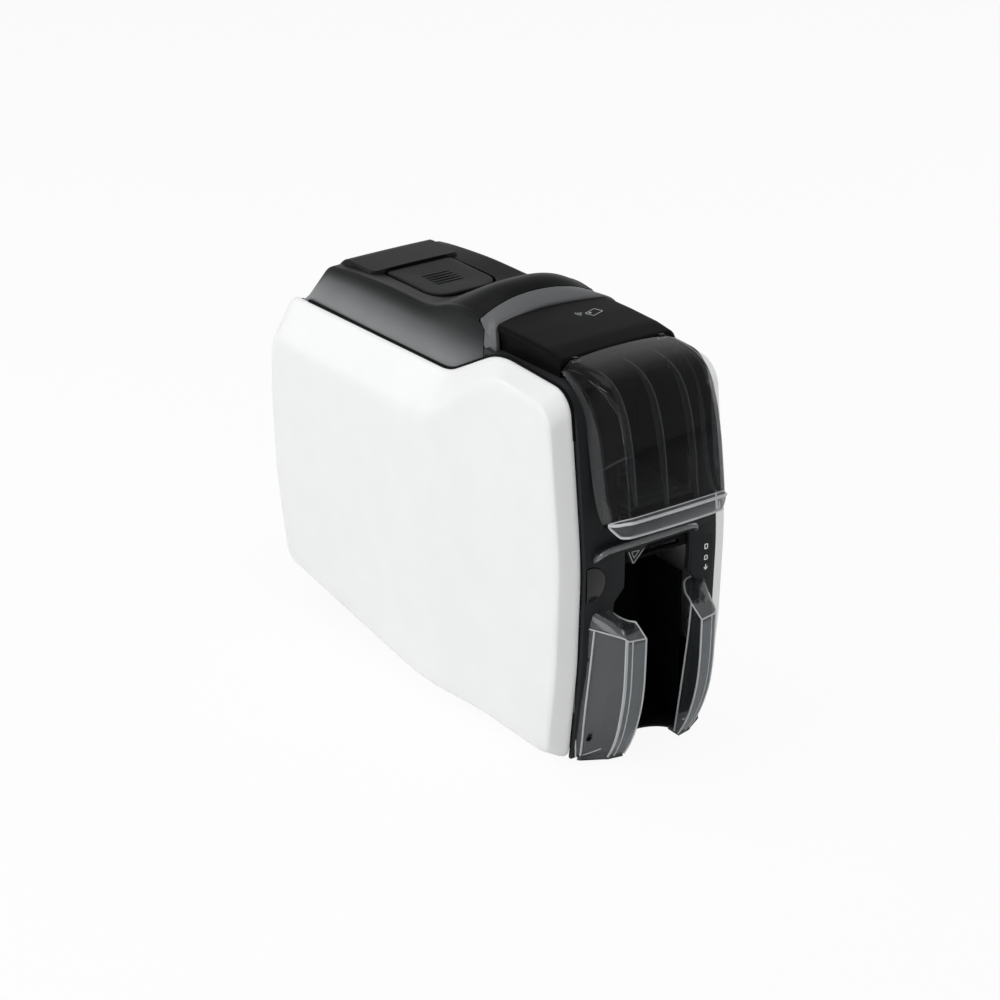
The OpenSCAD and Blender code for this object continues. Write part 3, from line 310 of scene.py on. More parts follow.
@dataclass(frozen=True)
class ClearMoulding(Stuff):
    """Clear plastic: rays pass it tinted, the more so face on, and its skin keeps a gloss."""

    tint: Colour
    skin: Colour
    veil: float
    rim: float
    roughness: float = 0.04
    index: float = 1.8

    def shader(self, tree: ShaderTree, where: Term) -> Term:
        """Builds the shader."""
        flow = tree.noise(tree.stretched(where, (1.0, 1.0, 0.25)), 30.0, 1.0, 0.4)
        scuff = tree.noise(tree.stretched(where, (1.0, 0.35, 1.0)), 12.0)
        skin = tree.surface(
            base_color=tree.mixed(flow.between(0.35, 0.65), toned(self.skin, 0.92), self.skin),
            roughness=scuff.between(0.45, 0.8, 0.0, 0.03) + self.roughness,
            ior=self.index,
            normal=tree.bump(flow, 0.02),
        )
        passing = tree.add("ShaderNodeBsdfTransparent", {}, {"Color": self.tint}, out="BSDF")
        turned = tree.add("ShaderNodeLayerWeight", {}, {"Blend": 0.4}, out="Facing")
        return tree.blended(turned.between(0.2, 0.95, self.veil, self.rim), passing, skin)


@dataclass(frozen=True)
class Metal(Stuff):
    """Rolled or turned metal with brush lines along one axis."""

    colour: Colour
    roughness: float = 0.3
    grain: Corner = (1.0, 0.05, 1.0)
    depth: float = 0.006

    def shader(self, tree: ShaderTree, where: Term) -> Term:
        """Builds the shader."""
        lines = tree.noise(tree.stretched(where, self.grain), 0.35, 3.0, 0.6)
        bloom = tree.noise(where, 14.0, 3.0, 0.55)
        return tree.surface(
            base_color=tree.mixed(bloom.between(0.3, 0.7), toned(self.colour, 0.82), self.colour),
            metallic=1.0,
            roughness=(lines - 0.5) * 0.2 + bloom * 0.08 + self.roughness,
            normal=tree.bump(lines, self.depth),
        )


@dataclass(frozen=True)
class Rubber(Stuff):
    """Soft black or grey rubber with a ground face."""

    colour: Colour
    roughness: float = 0.75

    def shader(self, tree: ShaderTree, where: Term) -> Term:
        """Builds the shader."""
        ground = tree.noise(where, 0.5, 4.0, 0.7)
        dust = tree.noise(where, 6.0, 3.0, 0.6)
        return tree.surface(
            base_color=tree.mixed(dust.between(0.45, 0.8), self.colour, toned(self.colour, 1.8, 0.015)),
            roughness=(dust - 0.5) * 0.15 + self.roughness,
            specular_ior_level=0.35,
            normal=tree.bump(ground, 0.05),
        )


@dataclass(frozen=True)
class LayeredFilm(Stuff):
    """Dye ribbon: glossy film with coloured panels that follow each other along it."""

    panel: float = 26.0
    dyes: tuple[Colour, ...] = ((0.45, 0.33, 0.02), (0.35, 0.02, 0.16), (0.01, 0.16, 0.30), (0.012, 0.011, 0.014))

    def shader(self, tree: ShaderTree, where: Term) -> Term:
        """Builds the shader."""
        _, along, up = tree.axes(where)
        turn = tree.add("ShaderNodeMath", {"operation": "FRACT"}, {0: (along + up * 0.35) / (self.panel * 4.0)})
        stops = [(place / 4, (*dye, 1.0)) for place, dye in enumerate(self.dyes)]
        bands = tree.add("ShaderNodeValToRGB", {"stops": stops}, {0: turn}, out="Color")
        bands.socket.node.color_ramp.interpolation = "CONSTANT"
        waves = tree.noise(tree.stretched(where, (0.2, 1.0, 1.0)), 5.0)
        return tree.surface(
            base_color=bands, roughness=waves * 0.12 + 0.16, coat_weight=0.5, normal=tree.bump(waves, 0.08)
        )


@dataclass(frozen=True)
class Circuit(Stuff):
    """Green solder mask with copper tracks showing through as paler lines."""

    mask: Colour = (0.008, 0.075, 0.03)
    track: Colour = (0.03, 0.16, 0.065)

    def shader(self, tree: ShaderTree, where: Term) -> Term:
        """Builds the shader."""
        kind, settings = "ShaderNodeTexVoronoi", {"feature": "DISTANCE_TO_EDGE"}
        edge = tree.add(kind, settings, {"Vector": where, "Scale": 0.16}, out="Distance")
        tracks = edge.between(0.02, 0.05, 1.0, 0.0)
        return tree.surface(
            base_color=tree.mixed(tracks, self.mask, self.track),
            roughness=tree.noise(where, 1.2) * 0.1 + 0.28,
            normal=tree.bump(tracks, 0.05),
        )


@dataclass(frozen=True)
class Lamp(Stuff):
    """A small light window that glows a little."""

    colour: Colour
    glow: float = 0.4

    def shader(self, tree: ShaderTree, where: Term) -> Term:
        """Builds the shader."""
        cloud = tree.noise(where, 2.0)
        colour = tree.mixed(cloud, self.colour, toned(self.colour, 1.15, 0.05))
        return tree.surface(
            base_color=colour, roughness=cloud * 0.1 + 0.25, emission_color=colour, emission_strength=self.glow
        )


class Finish(Enum):
    """Every finish on the printer."""

    WHITE = Moulding("white_shell_moulding", (0.90, 0.905, 0.91), 0.42, 0.45, 0.010, 0.015)
    # The second colour is painted sheen on the lid's flared sides.
    LID = LidMoulding("lid_moulding", (0.007, 0.0074, 0.008), (0.23, 0.24, 0.243), 0.36)
    DARK = Moulding("dark_shell_moulding", (0.014, 0.0148, 0.0155), 0.42, 0.30, 0.018, 0.10, 0.05)
    BLACK = Moulding("black_satin_moulding", (0.005, 0.0052, 0.0056), 0.34, 0.28, 0.010, 0.10, 0.02)
    PIT = Moulding("bin_black_moulding", (0.004, 0.0042, 0.0045), 0.50, 0.28, 0.010, 0.10, 0.12)
    FASCIA = Moulding("fascia_moulding_grey", (0.020, 0.0212, 0.0228), 0.42, 0.28, 0.012, 0.10, 0.10)
    PIANO = Moulding("black_gloss_moulding", (0.006, 0.006, 0.007), 0.14, 0.8, 0.004, 0.10, 0.4)
    ARCH = Moulding("arch_grey_moulding", (0.10, 0.104, 0.108), 0.42, 0.30, 0.014, 0.06, 0.4)
    TRIM = Moulding("grey_trim_moulding", (0.060, 0.062, 0.065), 0.40, 0.30, 0.012, 0.08, 0.4)
    GEAR = Moulding("acetal_gear_moulding", (0.72, 0.69, 0.60), 0.32, 0.6, 0.006, 0.04, 0.5, 0.15)
    HEAD = Moulding("glazed_ceramic", (0.36, 0.30, 0.17), 0.16, 1.0, 0.004, 0.12, 0.6, 0.4)
    PRINT_ICON = Moulding("pad_printed_grey", (0.40, 0.41, 0.42), 0.5, 0.4, 0.006, 0.10)
    SMOKED = ClearMoulding("smoked_clear_moulding", (0.72, 0.73, 0.74), (0.002, 0.002, 0.0025), 0.22, 0.85, 0.03, 1.5)
    # Its pale skin, which takes over edge-on, is painted highlight: the bright look of the hood's thick clear edges and
    # lip.
    SIDE = ClearMoulding("clear_side_moulding", (0.80, 0.81, 0.82), (0.50, 0.51, 0.52), 0.10, 0.95, 0.10, 1.5)
    RIB = ClearMoulding("smoked_rib_moulding", (0.80, 0.81, 0.82), (0.26, 0.27, 0.275), 0.45, 0.8, 0.10)
    # Pale beads in this finish are painted highlights along clear edges and creases.
    LIP = ClearMoulding("thick_clear_edge", (0.86, 0.88, 0.90), (0.78, 0.80, 0.81), 0.7, 0.95, 0.10, 1.7)
    CLEAR = ClearMoulding("clear_wing_moulding", (0.84, 0.87, 0.89), (0.060, 0.067, 0.071), 0.42, 0.9, 0.06, 2.3)
    FRONT = ClearMoulding("clear_guide_front", (0.80, 0.82, 0.84), (0.34, 0.36, 0.37), 0.34, 0.5, 0.10, 1.5)
    STEEL = Metal("turned_steel", (0.62, 0.62, 0.64), 0.24, (0.05, 1.0, 1.0))
    SHEET = Metal("zinc_plated_sheet", (0.56, 0.57, 0.58), 0.36, (1.0, 0.06, 1.0))
    ALUMINIUM = Metal("milled_aluminium", (0.72, 0.73, 0.75), 0.34, (1.0, 1.0, 0.06))
    BRASS = Metal("gold_plated_contacts", (0.83, 0.62, 0.24), 0.28)
    RUBBER = Rubber("ground_black_rubber", (0.018, 0.018, 0.019))
    CLEANING = Rubber("tacky_grey_rubber", (0.12, 0.13, 0.15), 0.5)
    FILM = LayeredFilm("dye_ribbon_film")
    BOARD = Circuit("solder_mask_board")
    LIGHT = Lamp("status_light_window", (0.62, 0.66, 0.60), 0.25)

    @property
    def material(self) -> bpy.types.Material:
        """The finish's material."""
        return self.value.material()


# ---- outlines and meshes -----------------------------------------------------------------------------


def metres(point: Iterable[float]) -> tuple[float, ...]:
    """Turns millimetres into metres."""
    return tuple(c / MM for c in point)


def linked(name: str, data: bpy.types.ID) -> bpy.types.Object:
    """A new object in the scene."""
    obj = bpy.data.objects.new(name, data)
    bpy.context.scene.collection.objects.link(obj)
    return obj


def circle(sides: int) -> np.ndarray:
    """Points round a circle of radius 1, one row each."""
    turn = np.linspace(0, 2 * math.pi, sides, endpoint=False)
    return np.column_stack([np.cos(turn), np.sin(turn)])


def stood(flat: np.ndarray, height: np.ndarray | float, axis: int = 2) -> np.ndarray:
    """Gives flat points the coordinate that they lack."""
    return np.insert(np.asarray(flat, float), axis, height, axis=1)


def smoothed(value: np.ndarray | float) -> np.ndarray | float:
    """A ramp from 0 to 1 with level ends."""
    t = np.clip(value, 0.0, 1.0)
    return t * t * (3.0 - 2.0 * t)


def rounded(corners: Sequence[Corner], steps: int = 12, between: int = 0, closed: bool = True) -> np.ndarray:
    """Rounds an outline's corners.

    Args:
        corners: Two coordinates and a radius for each corner.
        steps: Facets in each arc.
        between: Extra points on each straight stretch.
        closed: Whether the last corner joins the first.

    Returns:
        Points, one row each.
    """
    flat = np.array([c[:2] for c in corners], float)
    count = len(flat)
    out: list[np.ndarray] = []
    for i in range(count):
        here = flat[i]
        if not closed and i in (0, count - 1):
            out.append(here[None])
            continue
        before, after = flat[i - 1], flat[(i + 1) % count]
        u = (before - here) / np.linalg.norm(before - here)
        v = (after - here) / np.linalg.norm(after - here)
        half = math.acos(float(np.clip(u @ v, -1, 1))) / 2
        reach = min(
            corners[i][2] / math.tan(half),
            0.49 * np.linalg.norm(before - here),
            0.49 * np.linalg.norm(after - here),
        )
        t = np.linspace(0, 1, steps + 1)[:, None]
        weight = math.sin(half)
        start, end = here + u * reach, here + v * reach
        down = (1 - t) ** 2 + 2 * t * (1 - t) * weight + t**2
        out.append(((1 - t) ** 2 * start + 2 * t * (1 - t) * weight * here + t**2 * end) / down)
    if not between:
        return np.vstack(out)
    filled: list[np.ndarray] = []
    for i, arc in enumerate(out):
        filled.append(arc)
        if closed or i < len(out) - 1:
            following = out[(i + 1) % len(out)][0]
            t = np.linspace(0, 1, between + 2)[1:-1, None]
            filled.append(arc[-1] * (1 - t) + following * t)
    return np.vstack(filled)


def oblong(
    left: float, right: float, low: float, high: float, radius: float, steps: int = 12, between: int = 0
) -> np.ndarray:
    """A rectangle's outline with rounded corners."""
    ends = ((left, low), (right, low), (right, high), (left, high))
    return rounded([(*end, radius) for end in ends], steps, between)


def nearest(row: np.ndarray, x: float) -> int:
    """The point of a row whose first coordinate is nearest to x."""
    return int(np.argmin(np.abs(row[:, 0] - x)))


def traced(points: Sequence[Sequence[float]], count: int) -> np.ndarray:
    """A smooth line through points, in any number of coordinates.

    Args:
        points: The points it passes through.
        count: How many points to hand back, evenly spread by span length.

    Returns:
        Points, one row each.
    """
    p = np.array(points, float)
    gaps = np.sqrt(np.linalg.norm(np.diff(p, axis=0), axis=1))
    t = np.concatenate([[0], np.cumsum(gaps)])
    slope = np.zeros_like(p)
    ahead = np.diff(p, axis=0) / np.diff(t)[:, None]
    slope[0], slope[-1] = ahead[0], ahead[-1]
    share = (np.diff(t)[1:] / (t[2:] - t[:-2]))[:, None]
    slope[1:-1] = ahead[:-1] * share + ahead[1:] * (1 - share)
    at = np.linspace(0, t[-1], count)
    k = np.clip(np.searchsorted(t, at, side="right") - 1, 0, len(t) - 2)
    h = (t[k + 1] - t[k])[:, None]
    s = ((at - t[k]) / (t[k + 1] - t[k]))[:, None]
    return (
        (2 * s**3 - 3 * s**2 + 1) * p[k]
        + (s**3 - 2 * s**2 + s) * h * slope[k]
        + (3 * s**2 - 2 * s**3) * p[k + 1]
        + (s**3 - s**2) * h * slope[k + 1]
    )


def read(line: Sequence[Point], at: np.ndarray | float, count: int = 120) -> np.ndarray:
    """The second coordinate of a smooth line at a first one."""
    fine = traced(line, count)
    return np.interp(at, fine[:, 0], fine[:, 1])


class Shell:
    """Points and faces in millimetres that become one mesh."""

    def __init__(self) -> None:
        """Starts empty."""
        self.points: list[Corner] = []
        self.faces: list[tuple[int, ...]] = []

    def grid(self, rows: np.ndarray, wrap: bool = False, close: bool = False) -> "Shell":
        """Adds a sheet of quads.

        Args:
            rows: Array of rows, columns and three coordinates.
            wrap: Joins the last column to the first.
            close: Joins the last row to the first.

        Returns:
            The shell itself.
        """
        base = len(self.points)
        n, m = rows.shape[:2]
        self.points.extend(map(tuple, rows.reshape(-1, 3)))
        for i in range(n if close else n - 1):
            for j in range(m if wrap else m - 1):
                a, b = base + i * m + j, base + i * m + (j + 1) % m
                c, d = base + (i + 1) % n * m + (j + 1) % m, base + (i + 1) % n * m + j
                self.faces.append((a, b, c, d))
        return self

    def cap(self, ring: np.ndarray) -> "Shell":
        """Closes a ring with a fan from its middle."""
        base = len(self.points)
        self.points.extend(map(tuple, ring))
        self.points.append(tuple(ring.mean(0)))
        count = len(ring)
        self.faces.extend((base + i, base + (i + 1) % count, base + count) for i in range(count))
        return self

    def bar(self, stack: np.ndarray) -> "Shell":
        """Adds a closed bar from the long lines of its skin, one row each."""
        return self.grid(stack, close=True).cap(stack[:, 0]).cap(stack[:, -1])

    def prism(self, outline: np.ndarray, low: float, high: float, axis: int = 2) -> "Shell":
        """Adds a closed bar: an outline in the other two axes, drawn along one axis."""
        base = len(self.points)
        self.points.extend(map(tuple, np.vstack([stood(outline, level, axis) for level in (low, high)])))
        n = len(outline)
        self.faces.extend((base + i, base + (i + 1) % n, base + n + (i + 1) % n, base + n + i) for i in range(n))
        self.faces.append(tuple(range(base, base + n)))
        self.faces.append(tuple(range(base + n, base + 2 * n)))
        return self

    def pierced(
        self, across: np.ndarray, up: np.ndarray, place: Callable[[float, float], Corner],
        holes: Sequence[tuple[float, float, float, float]],
    ) -> "Shell":
        """Adds a sheet of quads with rectangular holes.

        Args:
            across: First coordinates of the sheet's lines.
            up: Second coordinates of its lines.
            place: Gives the point for a pair of coordinates.
            holes: First, last, lowest and highest coordinate of each hole.

        Returns:
            The shell itself.
        """
        u = np.unique(np.round(np.concatenate([across, *[hole[:2] for hole in holes]]), 3))
        v = np.unique(np.round(np.concatenate([up, *[hole[2:] for hole in holes]]), 3))
        for a, b in zip(u[:-1], u[1:]):
            for c, d in zip(v[:-1], v[1:]):
                x, y = (a + b) / 2, (c + d) / 2
                if not any(h[0] < x < h[1] and h[2] < y < h[3] for h in holes):
                    base = len(self.points)
                    self.points.extend(place(float(i), float(j)) for i, j in ((a, c), (b, c), (b, d), (a, d)))
                    self.faces.append((base, base + 1, base + 2, base + 3))
        return self

    def rod(self, centre: Point, radius: float, low: float, high: float, axis: int, sides: int = 32) -> "Shell":
        """Adds a round bar along an axis."""
        return self.prism(np.array(centre) + radius * circle(sides), low, high, axis)

    def box(self, x: Point, y: Point, z: Point) -> "Shell":
        """Adds a plain bar between corners, for bevelling later."""
        ring = np.array([(x[0], y[0]), (x[1], y[0]), (x[1], y[1]), (x[0], y[1])], float)
        return self.prism(ring, z[0], z[1])

    def tube(self, line: np.ndarray, radius: float, sides: int = 8) -> "Shell":
        """Adds a thin round bead along a line of points."""
        ahead = np.gradient(line, axis=0)
        ahead /= np.linalg.norm(ahead, axis=1)[:, None] + 1e-9
        first = np.cross(ahead, np.array([0.31, 0.22, 0.92]))
        first /= np.linalg.norm(first, axis=1)[:, None] + 1e-9
        second = np.cross(ahead, first)
        way = radius * circle(sides)
        return self.sleeve(line[:, None] + way[None, :, :1] * first[:, None] + way[None, :, 1:] * second[:, None])

    def sleeve(self, rings: np.ndarray) -> "Shell":
        """Adds a closed bar from the rings round it."""
        return self.grid(rings, wrap=True).cap(rings[0]).cap(rings[-1])

    def made(self, name: str, turn_out: bool = True) -> bpy.types.Object:
        """Builds the object, with its doubles merged and its faces turned out."""
        mesh = bpy.data.meshes.new(name)
        mesh.from_pydata([metres(p) for p in self.points], [], self.faces)
        obj = linked(name, mesh)
        work = bmesh.new()
        work.from_mesh(mesh)
        bmesh.ops.remove_doubles(work, verts=work.verts, dist=MERGE)
        bmesh.ops.dissolve_degenerate(work, edges=work.edges, dist=SLIVER)
        if turn_out:
            bmesh.ops.recalc_face_normals(work, faces=work.faces)
        work.to_mesh(mesh)
        work.free()
        return obj


class Bench:
    """What is done to a piece between its first mesh and its place on a body."""

    @staticmethod
    def baked(obj: bpy.types.Object) -> bpy.types.Object:
        """Turns an object's modifiers into plain mesh."""
        graph = bpy.context.evaluated_depsgraph_get()
        graph.update()
        mesh = bpy.data.meshes.new_from_object(obj.evaluated_get(graph), depsgraph=graph)
        obj.modifiers.clear()
        old, obj.data = obj.data, mesh
        bpy.data.meshes.remove(old)
        return obj

    @classmethod
    def modified(cls, obj: bpy.types.Object, kind: str, **settings: object) -> bpy.types.Object:
        """Adds one modifier and applies it."""
        modifier = obj.modifiers.new(kind.lower(), kind)
        for key, value in settings.items():
            setattr(modifier, key, value)
        return cls.baked(obj)

    @classmethod
    def walled(cls, obj: bpy.types.Object, wall: float, even: bool = True) -> bpy.types.Object:
        """Gives an open surface its wall, inwards."""
        return cls.modified(obj, "SOLIDIFY", thickness=wall / MM, offset=-1.0, use_even_offset=even)

    @classmethod
    def eased(cls, obj: bpy.types.Object, width: float, segments: int = 3, angle: float = 34.0) -> bpy.types.Object:
        """Rounds the sharp edges."""
        return cls.modified(
            obj,
            "BEVEL",
            width=width / MM,
            segments=segments,
            limit_method="ANGLE",
            angle_limit=math.radians(angle),
            use_clamp_overlap=True,
            miter_outer="MITER_ARC",
        )

    @classmethod
    def cut(cls, obj: bpy.types.Object, *cutters: bpy.types.Object) -> bpy.types.Object:
        """Takes solid cutters out of a piece and removes them."""
        for cutter in cutters:
            cls.modified(obj, "BOOLEAN", object=cutter, operation="DIFFERENCE", solver="EXACT")
            cls.scrap(cutter)
        return obj

    @staticmethod
    def scrap(obj: bpy.types.Object) -> None:
        """Removes an object with its mesh."""
        mesh = obj.data
        bpy.data.objects.remove(obj)
        bpy.data.meshes.remove(mesh)

    @staticmethod
    def turned_to(obj: bpy.types.Object, way: Corner) -> bpy.types.Object:
        """Turns an open sheet so that most of it looks one way."""
        if sum(face.normal.dot(Vector(way)) * face.area for face in obj.data.polygons) < 0:
            obj.data.flip_normals()
        return obj

    @staticmethod
    def smooth(obj: bpy.types.Object, angle: float = CREASED) -> bpy.types.Object:
        """Shades smoothly, with edges sharper than the angle kept."""
        for face in obj.data.polygons:
            face.use_smooth = True
        obj.data.set_sharp_from_angle(angle=math.radians(angle))
        return obj

    @staticmethod
    def joined(name: str, *objs: bpy.types.Object) -> bpy.types.Object:
        """Joins several meshes, with their materials, into one object."""
        with bpy.context.temp_override(active_object=objs[0], selected_editable_objects=list(objs)):
            bpy.ops.object.join()
        objs[0].name = name
        return objs[0]

    @staticmethod
    def copied(node: str, name: str) -> bpy.types.Object:
        """A merged copy of a frame node's mesh, its flat faces made whole."""
        obj = linked(name, bpy.data.objects[node].data.copy())
        obj.data.materials.clear()
        work = bmesh.new()
        work.from_mesh(obj.data)
        bmesh.ops.remove_doubles(work, verts=work.verts, dist=COPY_MERGE)
        bmesh.ops.dissolve_limit(
            work, angle_limit=math.radians(1.0), verts=work.verts, edges=work.edges, use_dissolve_boundaries=False
        )
        work.to_mesh(obj.data)
        work.free()
        return obj


def dress(
    obj: bpy.types.Object,
    finish: Finish,
    body: str,
    stands_for: Iterable[str] = (),
    angle: float = CREASED,
) -> bpy.types.Object:
    """Finishes a piece: shading, material, body and the nodes it stands for.

    Args:
        obj: The piece, in place.
        finish: Its finish, unless it already has materials.
        body: The body it rides on.
        stands_for: Frame nodes that it replaces.
        angle: Edges sharper than this stay sharp.

    Returns:
        The piece.
    """
    Bench.smooth(obj, angle)
    if not obj.data.materials:
        obj.data.materials.append(finish.material)
    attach(obj, body)
    for node in stands_for:
        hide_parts(node)
    log.info("%s: %d faces on %s", obj.name, len(obj.data.polygons), body)
    return obj


class Repeat:
    """Geometry Nodes that set one small piece many times."""

    @staticmethod
    def _tree(name: str) -> tuple[bpy.types.NodeTree, bpy.types.Node, bpy.types.Node]:
        """Makes an empty tree with its geometry sockets."""
        tree = bpy.data.node_groups.new(name, "GeometryNodeTree")
        for label, kind in (("Geometry", "Geometry"), ("Piece", "Object"), ("Finish", "Material")):
            tree.interface.new_socket(label, in_out="INPUT", socket_type=f"NodeSocket{kind}")
        return tree, tree.nodes.new("NodeGroupInput"), tree.nodes.new("NodeGroupOutput")

    @staticmethod
    def _set_down(
        tree: bpy.types.NodeTree, given: bpy.types.Node, result: bpy.types.Node, points: bpy.types.NodeSocket
    ) -> bpy.types.Node:
        """Instances the piece on points, makes it real and gives it the finish."""
        tree.interface.new_socket("Geometry", in_out="OUTPUT", socket_type="NodeSocketGeometry")
        source, stamp, real, paint = (
            tree.nodes.new(f"GeometryNode{kind}")
            for kind in ("ObjectInfo", "InstanceOnPoints", "RealizeInstances", "SetMaterial")
        )
        for socket, entry in (
            (given.outputs["Piece"], source.inputs["Object"]),
            (points, stamp.inputs["Points"]),
            (source.outputs["Geometry"], stamp.inputs["Instance"]),
            (stamp.outputs["Instances"], real.inputs["Geometry"]),
            (real.outputs["Geometry"], paint.inputs["Geometry"]),
            (given.outputs["Finish"], paint.inputs["Material"]),
            (paint.outputs["Geometry"], result.inputs[0]),
        ):
            tree.links.new(socket, entry)
        return stamp

    @classmethod
    def _run(cls, tree: bpy.types.NodeTree, name: str, holder: bpy.types.Object, **given: object) -> bpy.types.Object:
        """Runs a tree on a holder object with its inputs set by identifier, and bakes it."""
        modifier = holder.modifiers.new("repeat", "NODES")
        modifier.node_group = tree
        for item in tree.interface.items_tree:
            if item.in_out == "INPUT" and item.name in given:
                modifier[item.identifier] = given[item.name]
        Bench.baked(holder)
        holder.name = name
        Bench.scrap(given["Piece"])
        bpy.data.node_groups.remove(tree)
        return holder

    @classmethod
    def row(
        cls, name: str, piece: bpy.types.Object, finish: Finish, count: int, start: Corner, step: Corner
    ) -> bpy.types.Object:
        """Sets a piece in an even row.

        Args:
            name: The new object's name.
            piece: The piece, made round the origin. It is used up.
            finish: The row's finish.
            count: How many.
            start: Where the first stands, in millimetres.
            step: From one to the next, in millimetres.

        Returns:
            One object with every copy in its mesh.
        """
        tree, given, result = cls._tree(name)
        for label, kind in (("Count", "NodeSocketInt"), ("Start", "NodeSocketVector"), ("Step", "NodeSocketVector")):
            tree.interface.new_socket(label, in_out="INPUT", socket_type=kind)
        line = tree.nodes.new("GeometryNodeMeshLine")
        for label, socket in (("Count", "Count"), ("Start", "Start Location"), ("Step", "Offset")):
            tree.links.new(given.outputs[label], line.inputs[socket])
        cls._set_down(tree, given, result, line.outputs["Mesh"])
        holder = Shell().cap(np.eye(3)).made(name)
        return cls._run(
            tree, name, holder, Piece=piece, Finish=finish.material, Count=count,
            Start=metres(start), Step=metres(step),
        )

    @classmethod
    def scattered(
        cls, name: str, piece: bpy.types.Object, finish: Finish, places: Sequence[Corner], ways: Sequence[Corner]
    ) -> bpy.types.Object:
        """Sets a piece at chosen places, its own Z turned along each way.

        Args:
            name: The new object's name.
            piece: The piece, made round the origin. It is used up.
            finish: The finish.
            places: Where each stands, in millimetres.
            ways: The direction each faces.

        Returns:
            One object with every copy in its mesh.
        """
        tree, given, result = cls._tree(name)
        facing = tree.nodes.new("GeometryNodeInputNamedAttribute")
        facing.data_type = "FLOAT_VECTOR"
        facing.inputs["Name"].default_value = "facing"
        turn = tree.nodes.new("FunctionNodeAlignRotationToVector")
        turn.axis = "Z"
        tree.links.new(facing.outputs["Attribute"], turn.inputs["Vector"])
        stamp = cls._set_down(tree, given, result, given.outputs["Geometry"])
        tree.links.new(turn.outputs["Rotation"], stamp.inputs["Rotation"])
        mesh = bpy.data.meshes.new(name)
        mesh.from_pydata([metres(p) for p in places], [], [])
        mesh.attributes.new("facing", "FLOAT_VECTOR", "POINT").data.foreach_set("vector", np.array(ways, float).ravel())
        return cls._run(tree, name, linked(name, mesh), Piece=piece, Finish=finish.material)


class Screw:
    """Recessed pan-head screws."""

    @staticmethod
    def head(radius: float = 2.7, height: float = 1.7, recess: float = 1.1) -> bpy.types.Object:
        """One head round the origin, its face towards Z, with a six-sided recess."""
        sides, side = 24, math.pi / 3
        turn = np.linspace(0, 2 * math.pi, sides, endpoint=False)
        socket = np.cos(side / 2) / np.cos((turn % side) - side / 2)
        profile = ((radius, 0.0), (radius, height * 0.55), (radius * 0.9, height * 0.85), (radius * 0.68, height))
        rings = [stood(circle(sides) * r, z) for r, z in profile]
        inner = circle(sides) * (radius * 0.42 * socket)[:, None]
        rings += [stood(inner, z) for z in (height, height - recess)]
        return Shell().grid(np.array(rings), wrap=True).cap(rings[-1]).cap(rings[0]).made("screw_head")

    @classmethod
    def set(
        cls, name: str, places: Sequence[Corner], ways: Sequence[Corner], finish: Finish, body: str, slot: str,
        radius: float = 2.7,
    ) -> None:
        """Sets screws into a body's faces."""
        piece = Repeat.scattered(name, cls.head(radius), finish, places, ways)
        dress(piece, finish, body)


# ---- the printer's sub-assemblies --------------------------------------------------------------------


